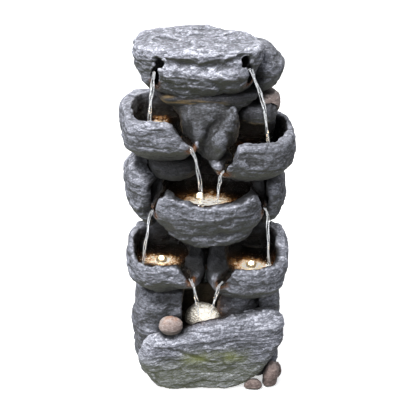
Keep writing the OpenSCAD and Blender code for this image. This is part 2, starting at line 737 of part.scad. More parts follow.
module pump_impeller() {
    color("lightgray") translate([0, chamber_y - 13, axis_z]) rotate([-90, 0, 0]) difference() {
        union() {
            cylinder(h = 2, d = impeller_d);
            translate([0, 0, -18]) cylinder(h = 19, d = 12);
            for (a = [0 : 60 : 300]) rotate(a) translate([3, -0.7,
                1.9]) cube([impeller_d / 2 - 3.6, 1.4, 7]);
            cylinder(h = 9, d = 6.5);
        }
        translate([0, 0, -30]) cylinder(h = 60, d = 2.6);
    }
}

module impeller_shaft() {
    color("silver") translate([0, chamber_y - 36, axis_z]) rotate([-90, 0, 0]) cylinder(h = 34,
        d = 2.5);
}

module pump_intake_cover() {
    color("dimgray") difference() {
        translate([-pump_w / 2 - 2.6, chamber_y - 12, pump_z + 3]) cube([pump_w + 5.2, 20, pump_h - 8]);
        translate([-pump_w / 2 - 0.3, chamber_y - 13, pump_z - 5]) cube([pump_w + 0.6, 13.3,
            pump_h + 10]);
        translate([-pump_w / 2 + 3, chamber_y - 1, pump_z + 6]) cube([pump_w - 6, 6.5, pump_h - 14]);
        // intake slots
        for (x = [-pump_w / 2 + 6 : 5 : -10]) translate([x, chamber_y, pump_z + 9]) cube([2, 12,
            pump_h - 20]);
        for (x = [10 : 5 : pump_w / 2 - 8]) translate([x, chamber_y, pump_z + 9]) cube([2, 12,
            pump_h - 20]);
        translate([0, chamber_y, axis_z]) rotate([-90, 0, 0]) cylinder(h = 12, d = 5.1);
    }
}

// Knob on the cover that opens and closes the intake
module pump_regulator() {
    color("gainsboro") translate([0, chamber_y, axis_z]) rotate([-90, 0, 0]) {
        translate([0, 0, 4]) cylinder(h = 6, d = 5);
        translate([0, 0, 4]) cylinder(h = 1.2, d = 8);
        translate([0, 0, 8.3]) cylinder(h = 3, d = 13);
        translate([-1.5, -6, 8.3]) cube([3, 12, 6]);
    }
}

module pump_cups() {
    color("dimgray") for (x = [-18, 18], y = [-12, 12]) translate([x, pump_y + y, floor_z]) {
        cylinder(h = 1.2, d = 13);
        cylinder(h = pump_z - floor_z, d = 6);
    }
}

module riser_tube() {
    color("lightcyan") translate([0, tube_y, pump_z + pump_h + 4]) difference() {
        cylinder(h = nozzle_z - (pump_z + pump_h + 4), d = tube_d);
        translate([0, 0, -1]) cylinder(h = 2 * big, d = tube_bore);
    }
}

module tube_clips() {
    color("dimgray") for (z = [290, 420]) difference() {
        union() {
            translate([0, tube_y, z]) cylinder(h = 10, d = tube_d + 5);
            translate([-4, column_front + wall + 0.1, z]) cube([8,
                tube_y - column_front - wall - tube_d / 2, 10]);
        }
        translate([0, tube_y, z - 1]) cylinder(h = 12, d = tube_d + 0.1);
    }
}

module top_nozzle() {
    color("black") translate([0, tube_y, nozzle_z]) difference() {
        union() {
            translate([0, 0, -14]) cylinder(h = 14, d = tube_bore - 0.2);
            cylinder(h = 3, d = tube_d + 6);
            cylinder(h = 10, d1 = tube_d, d2 = tube_bore);
        }
        translate([0, 0, -20]) cylinder(h = 40, d = 6);
    }
}

// ---------- lamps ----------

module lamp_bore(at) {
    translate([at.x, at.y, at.z - 30]) cylinder(h = 40, d = lamp_stem_d + 0.1);
}

module lamp_holder(at) {
    color("black") translate(at) difference() {
        union() {
            cylinder(h = 4, d = lamp_flange_d);
            translate([0, 0, -13]) cylinder(h = 14, d = lamp_stem_d);
        }
        translate([0, 0, 1]) cylinder(h = 4, d = lens_d + 0.2);
    }
}

module lamp_lens(at) {
    color("lightyellow") translate([at.x, at.y, at.z + 1]) {
        cylinder(h = 4, d = lens_d);
        translate([0, 0, 4]) rotate_extrude() intersection() {
            circle(d = lens_d);
            square(lens_d);
        }
    }
}

// Leads from the lamps back into the column stones, down to a splice in the base
module lamp_wiring() {
    color("black") carved() {
        for (lamp = [lamp_upper_left, lamp_upper_right, lamp_middle, lamp_lower_left, lamp_lower_right])
            tube_run([lamp - [0, 0, 15.5], [lamp.x * 0.8, -14, lamp.z - 20],
                [lamp.x * 0.8, 24, lamp.z - 22],
                [lamp.x * 0.5, 62, lamp.z - 40], [lamp.x * 0.2, 70, 160]], lead_r);
        tube_run([[-16, 70, 160], [20, 70, 158], splice_at], lead_r);
        tube_run([lamp_splash - [0, 0, 15.5], [44, 20, 88], splice_at], lead_r);
    }
}

module lead_splice() {
    color("black") translate(splice_at) rotate([-90, 0, 0]) cylinder(h = 24, d = 13);
}

// The pump's lead, from its housing through the splice to the gland
module pump_lead() {
    color("black") carved() {
        tube_run([[16, pump_y - 8, pump_z + pump_h + 1], [20, pump_y - 8, 92],
            splice_at - [0, 1, 8]], pump_lead_r);
        tube_run([splice_at + [0, 25, 0], [gland_x, back_flat - 12, gland_z],
            [gland_x, back_flat + 9, gland_z]], pump_lead_r);
    }
}

module cable_gland() {
    color("black") translate([gland_x, back_flat, gland_z]) rotate([-90, 0, 0]) difference() {
        union() {
            translate([0, 0, -wall - 4]) cylinder(h = wall + 5, d = 12);
            cylinder(h = 4, d = 20);
            cylinder(h = 9, d1 = 14, d2 = 9);
        }
        translate([0, 0, -30]) cylinder(h = 60, d = 6);
    }
}

module rubber_feet() {
    color("black") for (x = [-92, 88], y = [-58, 78]) translate([x, y, 0]) cylinder(h = foot_h, d = 22);
}

base_basin();
front_slab();
round_pebble();
foot_pebbles();
splash_shelf();
splash_stone();
column_stone_low();
column_stone_mid();
column_stone_high();
lower_left_bowl();
lower_right_bowl();
lower_neck_stone();
middle_bowl();
middle_ledge_stone();
middle_left_rock();
middle_right_rock();
middle_neck_stone();
upper_left_bowl();
upper_right_bowl();
saddle_stone();
right_neck_stone_low();
right_neck_stone_high();
upper_neck_slab();
top_bowl();
cap_stone();
crown_rock();
access_door();
door_hinge_pin();
door_latch();
latch_screw();
pump_housing();
pump_intake_cover();
pump_regulator();
pump_impeller();
impeller_shaft();
pump_outlet();
pump_cups();
riser_tube();
tube_clips();
top_nozzle();
lamp_holder(lamp_upper_left);  // lamp_holder_upper_left
lamp_holder(lamp_upper_right);  // lamp_holder_upper_right
lamp_holder(lamp_middle);  // lamp_holder_middle
lamp_holder(lamp_lower_left);  // lamp_holder_lower_left
lamp_holder(lamp_lower_right);  // lamp_holder_lower_right
lamp_holder(lamp_splash);  // lamp_holder_splash
lamp_lens(lamp_upper_left);  // lamp_lens_upper_left
lamp_lens(lamp_upper_right);  // lamp_lens_upper_right
lamp_lens(lamp_middle);  // lamp_lens_middle
lamp_lens(lamp_lower_left);  // lamp_lens_lower_left
lamp_lens(lamp_lower_right);  // lamp_lens_lower_right
lamp_lens(lamp_splash);  // lamp_lens_splash
lamp_wiring();
lead_splice();
pump_lead();
cable_gland();
rubber_feet();
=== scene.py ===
import json
import math

import bpy
import numpy as np
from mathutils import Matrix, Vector
from mathutils.bvhtree import BVHTree


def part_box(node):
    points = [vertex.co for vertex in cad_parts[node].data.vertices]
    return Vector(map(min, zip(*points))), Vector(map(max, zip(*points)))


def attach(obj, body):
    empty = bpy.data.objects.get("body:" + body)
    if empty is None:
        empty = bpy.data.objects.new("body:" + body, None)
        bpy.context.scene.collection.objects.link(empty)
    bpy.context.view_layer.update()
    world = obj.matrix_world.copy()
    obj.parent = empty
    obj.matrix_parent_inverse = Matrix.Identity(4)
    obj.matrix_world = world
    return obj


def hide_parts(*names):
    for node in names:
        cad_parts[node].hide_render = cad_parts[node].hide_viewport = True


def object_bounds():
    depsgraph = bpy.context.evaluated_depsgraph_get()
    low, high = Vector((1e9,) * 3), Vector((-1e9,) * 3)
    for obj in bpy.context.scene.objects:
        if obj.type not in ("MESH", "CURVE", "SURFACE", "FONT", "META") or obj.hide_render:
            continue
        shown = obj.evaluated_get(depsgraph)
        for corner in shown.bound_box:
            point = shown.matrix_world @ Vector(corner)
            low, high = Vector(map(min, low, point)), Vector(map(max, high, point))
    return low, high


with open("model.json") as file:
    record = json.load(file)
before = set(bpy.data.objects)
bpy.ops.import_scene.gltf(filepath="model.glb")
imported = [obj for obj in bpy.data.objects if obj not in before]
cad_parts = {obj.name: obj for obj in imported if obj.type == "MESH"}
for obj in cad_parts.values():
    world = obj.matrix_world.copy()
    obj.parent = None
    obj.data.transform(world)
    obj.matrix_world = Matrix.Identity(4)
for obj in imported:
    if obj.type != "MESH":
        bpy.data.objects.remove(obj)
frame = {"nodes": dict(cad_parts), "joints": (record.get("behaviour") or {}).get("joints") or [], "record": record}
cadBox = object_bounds()
scene = bpy.context.scene
mm = 0.001


# small helpers for picking, adding and finishing pieces

def clearSelection():
    if bpy.context.object and bpy.context.object.mode != "OBJECT":
        bpy.ops.object.mode_set(mode="OBJECT")
    bpy.ops.object.select_all(action="DESELECT")


def makeActive(piece):
    clearSelection()
    piece.select_set(True)
    bpy.context.view_layer.objects.active = piece


def addModifier(piece, kind, apply=True, **settings):
    modifier = piece.modifiers.new(kind.title(), kind)
    for key, value in settings.items():
        setattr(modifier, key, value)
    if apply:
        makeActive(piece)
        bpy.ops.object.modifier_apply(modifier=modifier.name)
    return modifier


def settle(piece, name):
    # place, turn and size go into the mesh, so the object stands at the origin
    makeActive(piece)
    bpy.ops.object.transform_apply(location=True, rotation=True, scale=True)
    piece.name = name
    piece.data.name = name
    return piece


def editAll(operation, **settings):
    # one edit made on every part of the active piece
    bpy.ops.object.mode_set(mode="EDIT")
    bpy.ops.mesh.select_all(action="SELECT")
    operation(**settings)
    bpy.ops.object.mode_set(mode="OBJECT")


def coat(piece, material):
    makeActive(piece)
    bpy.ops.object.shade_smooth()
    piece.data.materials.append(material)


def copyOfNode(node, name):
    # a merged copy of a CAD node's mesh, as the blank for a worked piece
    piece = bpy.data.objects.new(name, frame["nodes"][node].data.copy())
    scene.collection.objects.link(piece)
    piece.data.materials.clear()
    makeActive(piece)
    editAll(bpy.ops.mesh.remove_doubles, threshold=0.00001)
    return piece


def readPoints(mesh):
    flat = np.empty(len(mesh.vertices) * 3, np.float32)
    mesh.vertices.foreach_get("co", flat)
    return flat.reshape(-1, 3).astype(float)


def readNormals(mesh):
    flat = np.empty(len(mesh.vertices) * 3, np.float32)
    mesh.vertices.foreach_get("normal", flat)
    return flat.reshape(-1, 3).astype(float)


def writePoints(mesh, points):
    mesh.vertices.foreach_set("co", points.astype(np.float32).ravel())
    mesh.update()


def paint(mesh, name, values):
    # one number per point, for the materials to read
    layer = mesh.attributes.get(name) or mesh.attributes.new(name, "FLOAT", "POINT")
    layer.data.foreach_set("value", values.astype(np.float32))


def ease(low, high, value):
    t = np.clip((value - low) / (high - low), 0, 1)
    return t * t * (3 - 2 * t)


# repeatable noise, so the stones come out the same each run

mixers = {"x": 374761393, "y": 668265263, "z": 1442695041, "seed": 97463477, "again": 1274126177}
directions = np.random.default_rng(7).normal(size=(256, 3))
directions /= np.linalg.norm(directions, axis=1)[:, None]


def shuffled(cell, seed):
    h = cell[:, 0] * mixers["x"] + cell[:, 1] * mixers["y"] + cell[:, 2] * mixers["z"] + seed * mixers["seed"]
    h = (h ^ (h >> 13)) * mixers["again"]
    return (h ^ (h >> 16)) & 0xFFFFFF


def lattice(points, size, seed):
    # smooth noise about -1 to 1 with lumps of that size
    p = points / size + 31.7 * seed
    cell = np.floor(p).astype(np.int64)
    f = p - cell
    w = f * f * f * (f * (f * 6 - 15) + 10)
    total = np.zeros(len(p))
    for corner in range(8):
        step = np.array([corner & 1, corner >> 1 & 1, corner >> 2 & 1])
        way = directions[shuffled(cell + step, seed) & 255]
        share = np.prod(np.where(step, w, 1 - w), axis=1)
        total += share * np.einsum("ij,ij->i", way, f - step)
    return total * 1.6


def layered(points, size, seed, times=3, fall=0.5):
    total, weight = np.zeros(len(points)), 1.0
    for i in range(times):
        total += weight * lattice(points, size / 2 ** i, seed + i)
        weight *= fall
    return total


def chiselled(points, size, seed):
    # flat chips: each cell of the stone has its own tilted plane, with small steps between
    p = points / size
    cell = np.floor(p).astype(np.int64)
    best = np.full((2, len(p)), 9.0)
    level = np.zeros((2, len(p)))
    for i in (-1, 0, 1):
        for j in (-1, 0, 1):
            for k in (-1, 0, 1):
                near = cell + np.array([i, j, k])
                h = shuffled(near, seed)
                jitter = np.stack([h & 255, h >> 8 & 255, h >> 16 & 255], 1) / 255.0
                away = p - near - jitter
                d = np.einsum("ij,ij->i", away, away)
                plane = np.einsum("ij,ij->i", directions[h * 7 & 255], away) + (h % 17) / 17 - 0.5
                closer = d < best[0]
                second = ~closer & (d < best[1])
                best[1] = np.where(closer, best[0], np.where(second, d, best[1]))
                level[1] = np.where(closer, level[0], np.where(second, plane, level[1]))
                best[0] = np.where(closer, d, best[0])
                level[0] = np.where(closer, plane, level[0])
    blend = 0.5 + 0.5 * np.clip((np.sqrt(best[1]) - np.sqrt(best[0])) / 0.16, 0, 1)
    return level[0] * blend + level[1] * (1 - blend)


def bedding(points, spacing, slope, seed):
    # worn beds of slate: each bed stands out or back, and hangs over a dark line below it
    warp = lattice(points, 0.11, seed) * 0.012 + lattice(points, 0.034, seed + 1) * 0.0035
    s = (points[:, 2] - slope * points[:, 0] + warp) / spacing
    bed = np.floor(s)
    part = s - bed
    key = np.stack([bed.astype(np.int64), np.zeros(len(s), np.int64) + seed, np.zeros(len(s), np.int64)], 1)
    out = (shuffled(key, seed) & 255) / 255.0 - 0.5
    lip = ease(0, 0.16, part) * (1 - 0.55 * part)
    return out * 0.9 + lip - 0.6


# camera, floor and light

view = {"place": (0, -1.558, 1.0346), "down": 25.3, "lens": 86.798, "sensor": 36}
cameraData = bpy.data.cameras.new("camera")
camera = bpy.data.objects.new("camera", cameraData)
scene.collection.objects.link(camera)
camera.location = view["place"]
camera.rotation_euler = (math.radians(90 - view["down"]), 0, 0)
cameraData.sensor_width = view["sensor"]
cameraData.lens = view["lens"]
scene.camera = camera

# each height runs from 0 straight down to 1 straight up, with its share of the sky's light
studio = {
    "sky": (0.94, 0.955, 1.0), "skyPower": 1.0,
    "heights": [(0.46, 0.035), (0.47, 0.95), (0.56, 0.8), (0.66, 0.3)],
    "floorSize": 60, "floorTones": (0.90, 0.94), "floorGlow": 0.6,
}


def addSoftLight(name, place, aim, size, power, tint):
    data = bpy.data.lights.new(name, "AREA")
    data.shape = "DISK"
    data.size = size
    data.energy = power
    data.color = tint
    light = bpy.data.objects.new(name, data)
    scene.collection.objects.link(light)
    light.location = place
    light.rotation_euler = (Vector(aim) - Vector(place)).to_track_quat("-Z", "Y").to_euler()


addSoftLight("topLight", (-0.6, -0.95, 2.15), (0, 0, 0.35), 0.6, 58, (1, 0.99, 0.97))
addSoftLight("frontLight", (-1.4, -1.9, 1.15), (0, 0, 0.3), 0.6, 46, (0.97, 0.98, 1))
addSoftLight("sideLight", (1.9, -0.9, 1.5), (0, 0, 0.3), 1.0, 10, (0.93, 0.95, 1))
addSoftLight("backLight", (0.4, 2.2, 1.9), (0, 0, 0.3), 1.3, 42, (1, 1, 1))

world = bpy.data.worlds.new("studio")
scene.world = world
world.use_nodes = True
sky = world.node_tree.nodes["Background"]
sky.inputs["Strength"].default_value = studio["skyPower"]
# white round the horizon, softer overhead, and dim below, so little light comes up from under the stones
direction = world.node_tree.nodes.new("ShaderNodeTexCoord")
split = world.node_tree.nodes.new("ShaderNodeSeparateXYZ")
height = world.node_tree.nodes.new("ShaderNodeMath")
fade = world.node_tree.nodes.new("ShaderNodeValToRGB")
height.operation = "MULTIPLY_ADD"
height.inputs[1].default_value = height.inputs[2].default_value = 0.5
for source, target in ((direction.outputs["Generated"], split.inputs[0]), (split.outputs["Z"], height.inputs[0]),
                       (height.outputs[0], fade.inputs["Fac"]), (fade.outputs["Color"], sky.inputs["Color"])):
    world.node_tree.links.new(source, target)
for place, _ in studio["heights"][2:]:
    fade.color_ramp.elements.new(place)
for element, (place, share) in zip(fade.color_ramp.elements, studio["heights"]):
    element.position = place
    element.color = (*[c * share for c in studio["sky"]], 1)
scene.view_settings.view_transform = "Standard"

clearSelection()
bpy.ops.mesh.primitive_plane_add(size=studio["floorSize"], location=(0, 0, 0))
floor = settle(bpy.context.object, "floor")
floor.visible_diffuse = False
print("camera, floor and light are set")


# materials

def newMaterial(name):
    material = bpy.data.materials.new(name)
    material.use_nodes = True
    tree = material.node_tree
    return material, tree, tree.nodes["Principled BSDF"]


def addNode(tree, kind, inputs=None, **settings):
    node = tree.nodes.new("ShaderNode" + kind)
    for key, value in settings.items():
        setattr(node, key, value)
    for key, value in (inputs or {}).items():
        socket = node.inputs[key]
        if isinstance(value, bpy.types.NodeSocket):
            tree.links.new(value, socket)
        else:
            socket.default_value = value
    return node


def ramp(tree, fac, stops):
    node = addNode(tree, "ValToRGB", {"Fac": fac})
    while len(node.color_ramp.elements) < len(stops):
        node.color_ramp.elements.new(0.5)
    for element, (place, colour) in zip(node.color_ramp.elements, stops):
        element.position = place
        element.color = (*colour, 1)
    return node.outputs["Color"]


def maths(tree, operation, a, b, clamp=False):
    return addNode(tree, "Math", {0: a, 1: b}, operation=operation, use_clamp=clamp).outputs[0]


def weighted(tree, terms, start=0.0, clamp=False):
    # a start plus each source times its share
    total = start
    for source, share in terms:
        node = addNode(tree, "Math", {0: source, 1: share, 2: total}, operation="MULTIPLY_ADD")
        total = node.outputs[0]
    node.use_clamp = clamp
    return total


def mixed(tree, fac, a, b, blend="MIX"):
    node = addNode(tree, "Mix", {"Factor": fac}, data_type="RGBA", blend_type=blend)
    for index, value in ((6, a), (7, b)):
        if isinstance(value, bpy.types.NodeSocket):
            tree.links.new(value, node.inputs[index])
        else:
            node.inputs[index].default_value = (*value, 1)
    return node.outputs[2]


def objectPoints(tree, stretch=(1, 1, 1), turn=(0, 0, 0)):
    where = addNode(tree, "TexCoord").outputs["Object"]
    return addNode(tree, "Mapping", {"Vector": where, "Scale": stretch, "Rotation": turn}).outputs["Vector"]


def grain(tree, where, scale, detail=4, rough=0.55, twist=0.0):
    return addNode(tree, "TexNoise", {"Vector": where, "Scale": scale, "Detail": detail,
                                      "Roughness": rough, "Distortion": twist}).outputs["Fac"]


def roughen(tree, shader, height, strength, distance):
    bump = addNode(tree, "Bump", {"Height": height, "Strength": strength, "Distance": distance})
    tree.links.new(bump.outputs["Normal"], shader.inputs["Normal"])


def attribute(tree, name):
    return addNode(tree, "Attribute", attribute_name=name, attribute_type="GEOMETRY").outputs["Fac"]


stoneTones = {
    "slate": [(0.0, (0.010, 0.010, 0.011)), (0.26, (0.045, 0.046, 0.050)), (0.48, (0.118, 0.124, 0.146)),
              (0.68, (0.25, 0.258, 0.302)), (0.86, (0.50, 0.512, 0.585)), (1.0, (0.80, 0.80, 0.88))],
    "dark": [(0.0, (0.003, 0.003, 0.004)), (0.34, (0.014, 0.014, 0.016)), (0.58, (0.040, 0.041, 0.048)),
             (0.8, (0.11, 0.112, 0.13)), (1.0, (0.34, 0.345, 0.40))],
    "pale": [(0.0, (0.10, 0.085, 0.07)), (0.35, (0.36, 0.335, 0.29)), (0.7, (0.70, 0.67, 0.60)),
             (1.0, (0.92, 0.90, 0.84))],
    "rosy": [(0.0, (0.03, 0.022, 0.02)), (0.35, (0.14, 0.10, 0.09)), (0.6, (0.30, 0.235, 0.215)),
             (0.85, (0.52, 0.46, 0.44)), (1.0, (0.7, 0.66, 0.64))],
}

# from the edge of a lamp's light to its middle, on stained wet stone and on dry stone
lampRings = {
    "wet": [(0.34, (0.07, 0.022, 0.005)), (0.5, (0.45, 0.20, 0.055)), (0.66, (0.95, 0.78, 0.55)),
            (0.82, (1.0, 0.97, 0.90))],
    "dry": [(0.34, (0.16, 0.14, 0.115)), (0.5, (0.44, 0.40, 0.34)), (0.66, (0.84, 0.80, 0.71)),
            (0.82, (1.0, 0.97, 0.90))],
}
basinStain = [(0.0, (0.004, 0.003, 0.002)), (0.48, (0.016, 0.009, 0.005)), (0.68, (0.075, 0.030, 0.009)),
              (0.86, (0.24, 0.09, 0.02)), (1.0, (0.5, 0.27, 0.10))]

# marks of the surface, each as a count to the metre, and how they add up; the share of the tops paints them
# lighter as if lit from above, the under colour is painted shade on faces turned down, and the glow is lamp light
# painted on the stone
surface = {
    "broad": 17, "regions": 34, "marks": 175, "flecks": 420, "creases": 60.0, "sway": 90.0, "wrinkles": 165.0,
    "swayBy": 0.011, "contrast": 1.05, "broadShare": 0.4, "edgeShare": 0.20, "topLightShare": 0.17,
    "relief": 0.0060, "glow": 0.62, "under": (0.030, 0.032, 0.021), "moss": (0.16, 0.18, 0.045),
}


def castStone(name, tone, lean=0.05, brush=1.0, rustAndLampLightColour=(0.36, 0.125, 0.03), ring="wet"):
    # cast stone: pale dry brush on edges with painted highlight on the rims, tops painted lighter as if lit from
    # above, painted shade under overhangs and in the recesses (standing also for the dark wash), moss below, wet
    # brown basins, rust, and painted lamp light
    material, tree, shader = newMaterial(name)
    plain = objectPoints(tree)
    broad = grain(tree, plain, surface["broad"], 3)
    turned = [objectPoints(tree, (1, 1, 2.3), (0.1, 0.42 + lean, 0)),
              objectPoints(tree, (1, 1, 2.1), (0, -0.62 + lean, 0.5))]
    # two ways of chisel marks, each in its own regions
    across = weighted(tree, [(grain(tree, plain, surface["regions"], 2), 7)], -3, True)
    marks = [grain(tree, where, surface["marks"], 5, 0.74, 0.4) for where in turned]
    chips = addNode(tree, "Mix", {0: across, 2: marks[1], 3: marks[0]}).outputs[0]
    flecks = grain(tree, plain, surface["flecks"], 3, 0.7, 0.4)
    creases = addNode(tree, "TexNoise", {"Vector": turned[0], "Scale": surface["creases"], "Detail": 5.0,
                                         "Roughness": 0.6, "Lacunarity": 2.2, "Distortion": 0.9},
                      noise_type="RIDGED_MULTIFRACTAL").outputs["Fac"]
    ridges = maths(tree, "MULTIPLY", creases, 0.5, True)
    # wrinkled cells, like hide, between crossing grooves
    sway = addNode(tree, "TexNoise", {"Vector": plain, "Scale": surface["sway"], "Detail": 2.0}).outputs["Color"]
    swayed = addNode(tree, "VectorMath", {0: sway, "Scale": surface["swayBy"]}, operation="SCALE").outputs[0]
    swayed = addNode(tree, "VectorMath", {0: turned[1], 1: swayed}, operation="ADD").outputs[0]
    cells = addNode(tree, "TexVoronoi", {"Vector": swayed, "Scale": surface["wrinkles"]},
                    feature="DISTANCE_TO_EDGE").outputs["Distance"]
    wrinkles = maths(tree, "MULTIPLY", cells, 3.2, True)
    height = weighted(tree, [(chips, 0.42), (flecks, 0.24), (ridges, 0.18), (wrinkles, 0.17)])
    up = addNode(tree, "SeparateXYZ", {0: addNode(tree, "NewGeometry").outputs["Normal"]}).outputs["Z"]
    contrast = surface["contrast"] * brush
    # the value takes in painted light: tops lighter as if lit from above, edges pale from dry brush and painted
    # highlight, hollows darker as painted shade
    value = weighted(tree, [(height, contrast), (broad, surface["broadShare"]),
                            (attribute(tree, "edge"), surface["edgeShare"]), (up, surface["topLightShare"]),
                            (attribute(tree, "tone"), 1)],
                     0.5 - 0.5 * (contrast + surface["broadShare"]), True)
    colour = ramp(tree, value, stoneTones[tone])
    # painted shade: faces turned down are darkened towards an olive black
    under = maths(tree, "MULTIPLY", maths(tree, "MULTIPLY", up, -2.2), maths(tree, "ADD", broad, 0.2), True)
    colour = mixed(tree, under, colour, surface["under"])
    mossy = maths(tree, "MULTIPLY", attribute(tree, "moss"), maths(tree, "ADD", chips, 0.25), True)
    colour = mixed(tree, mossy, colour, surface["moss"])
    wet = attribute(tree, "wet")
    stain = ramp(tree, weighted(tree, [(height, 2.4)], -0.72, True), basinStain)
    colour = mixed(tree, wet, colour, stain)
    # rust from the runs, which on the neck slab is painted lamp light in ochre lines
    rust = maths(tree, "MULTIPLY", attribute(tree, "rust"), maths(tree, "ADD", chips, 0.3), True)
    colour = mixed(tree, rust, colour, rustAndLampLightColour)
    # painted shade: places that see little of the room, in the recesses and under the bowls, are darkened
    dim = weighted(tree, [(attribute(tree, "open"), 0.95)], 0.05, True)
    colour = mixed(tree, 1.0, colour, dim, "MULTIPLY")
    # light of the lamps, in patches that follow the marks
    glow = attribute(tree, "glow")
    cream = ramp(tree, weighted(tree, [(height, 1.5), (glow, 0.45)], -0.45), lampRings[ring])
    patchy = maths(tree, "MULTIPLY", glow, weighted(tree, [(chips, 1.6)], 0.2))
    shown = maths(tree, "MULTIPLY", maths(tree, "POWER", patchy, 1.8), 1.5, True)
    colour = mixed(tree, shown, colour, cream)
    lit = mixed(tree, maths(tree, "POWER", maths(tree, "MINIMUM", patchy, 1.0), 2.0, True), (0, 0, 0), cream)
    tree.links.new(colour, shader.inputs["Base Color"])
    tree.links.new(lit, shader.inputs["Emission Color"])
    shader.inputs["Emission Strength"].default_value = surface["glow"]
    tree.links.new(weighted(tree, [(chips, 0.25), (wet, -0.5)], 0.62, True), shader.inputs["Roughness"])
    shader.inputs["Specular IOR Level"].default_value = 0.4
    roughen(tree, shader, height, 1.0, surface["relief"])
    return material


stones = {
    "slate": castStone("slateStone", "slate"), "slab": castStone("slabStone", "slate", lean=-0.17),
    # the dark stones' ochre rust colour also paints the lamp light on the neck slab
    "dark": castStone("darkStone", "dark", rustAndLampLightColour=(0.50, 0.34, 0.13)),
    "pale": castStone("paleStone", "pale", ring="dry"), "rosy": castStone("rosyStone", "rosy", brush=0.8),
}

floorMaterial, tree, shader = newMaterial("studioFloor")
tone = grain(tree, objectPoints(tree), 1.4, 2)
floorStops = [(place, (grey, grey, grey)) for place, grey in zip((0.0, 1.0), studio["floorTones"])]
tree.links.new(ramp(tree, tone, floorStops), shader.inputs["Base Color"])
shader.inputs["Roughness"].default_value = 0.9
shader.inputs["Emission Color"].default_value = (1, 1, 1, 1)
shader.inputs["Emission Strength"].default_value = studio["floorGlow"]
floor.data.materials.append(floorMaterial)
print("stone materials are made")


# basins: outline at the rim, height of the floor and of the water, all in millimetres

basins = {
    "top": {"outline": [(-98, -30), (-94, 6), (-70, 44), (-30, 58), (10, 52), (50, 22), (66, -14), (60, -52),
                        (14, -64), (-40, -64), (-82, -52)],
            "floor": 541, "water": 547, "rim": 573,
            "runs": [((-76, -40, 546), (-91, -104, 532)), ((54, -34, 546), (82, -96, 536))]},
    "upperLeft": {"outline": [(-122, -22), (-118, 14), (-96, 28), (-60, 20), (-34, -6), (-32, -56), (-46, -84),
                              (-80, -93), (-106, -80), (-118, -54)],
                  "floor": 454, "water": 462, "rim": 497, "runs": [((-54, -60, 462), (-24, -112, 448))]},
    "upperRight": {"outline": [(130, -8), (126, 32), (102, 42), (62, 30), (38, 0), (34, -52), (42, -84),
                               (62, -92), (98, -87), (116, -68), (127, -38)],
                   "floor": 412, "water": 420, "rim": 454, "runs": [((56, -62, 420), (21, -112, 407))]},
    "middle": {"outline": [(-76, -46), (-56, -76), (-36, -94), (4, -103), (34, -98), (54, -84), (70, -66),
                           (78, -30), (66, -2), (0, 0), (-66, -2)],
               "floor": 334, "water": 351, "rim": 376,
               "runs": [((-66, -48, 353), (-98, -96, 320)), ((68, -46, 353), (102, -92, 320))]},
    "lowerLeft": {"outline": [(-127, -32), (-121, 2), (-98, 20), (-60, 14), (-36, -8), (-32, -56), (-44, -88),
                              (-62, -97), (-86, -102), (-110, -94), (-123, -64)],
                  "floor": 214, "water": 224, "rim": 256, "runs": [((-54, -66, 224), (-25, -114, 213))]},
    "lowerRight": {"outline": [(117, -40), (115, 0), (96, 22), (60, 14), (36, -8), (30, -56), (40, -92),
                               (62, -103), (88, -101), (108, -88), (117, -66)],
                   "floor": 208, "water": 218, "rim": 256, "runs": [((52, -64, 218), (18, -114, 210))]},
}

# lamps: place of the lens, how wide its light lies on the stone, and how bright
lampSpots = {
    "upper_left": {"at": (-80, -22, 460), "shine": (-79, -2, 455), "wide": 13, "glow": 1.25, "power": 0.012},
    "upper_right": {"at": (76, -38, 418), "shine": (73, -12, 413), "wide": 16, "glow": 1.25, "power": 0.02},
    "middle": {"at": (-14, -40, 340), "shine": (-5, -62, 338), "wide": 36, "glow": 1.85, "power": 0.006},
    "lower_left": {"at": (-80, -36, 220), "wide": 25, "glow": 1.65, "power": 0.008},
    "lower_right": {"at": (74, -44, 214), "wide": 26, "glow": 1.7, "power": 0.008},
    "splash": {"at": (4, -27, 112), "shine": (-1, -76, 136), "wide": 30, "glow": 1.2,
               "power": 0.02, "dry": True},
}


def insideOf(points, outline, grow=1.0):
    # signed distance to an outline seen from above, in millimetres, positive inside
    ring = np.array(outline, float)
    middle = ring.mean(0)
    ring = middle + (ring - middle) * grow
    nearest = np.full(len(points), 1e9)
    odd = np.zeros(len(points), bool)
    for a, b in zip(ring, np.roll(ring, -1, 0)):
        along = b - a
        t = np.clip(((points - a) @ along) / (along @ along), 0, 1)
        nearest = np.minimum(nearest, np.linalg.norm(points - a - t[:, None] * along, axis=1))
        crosses = (a[1] > points[:, 1]) != (b[1] > points[:, 1])
        at = a[0] + (points[:, 1] - a[1]) * along[0] / (along[1] if along[1] else 1e-9)
        odd ^= crosses & (points[:, 0] < at)
    return np.where(odd, nearest, -nearest)


def nearRun(points, a, b):
    a, b = np.array(a, float), np.array(b, float)
    t = np.clip(((points - a) @ (b - a)) / ((b - a) @ (b - a)), 0, 1)
    return np.linalg.norm(points - a - t[:, None] * (b - a), axis=1)


# reach of the wet, the rust and the light, in millimetres
soaking = {"grow": 1.07, "runs": (8, 15), "rust": 0.38, "rustRuns": (4, 14), "rustFrom": 0.45,
           "lampSpread": (0.8, 1.1, 0.8), "paleShare": 1, "dryShare": 0.42}


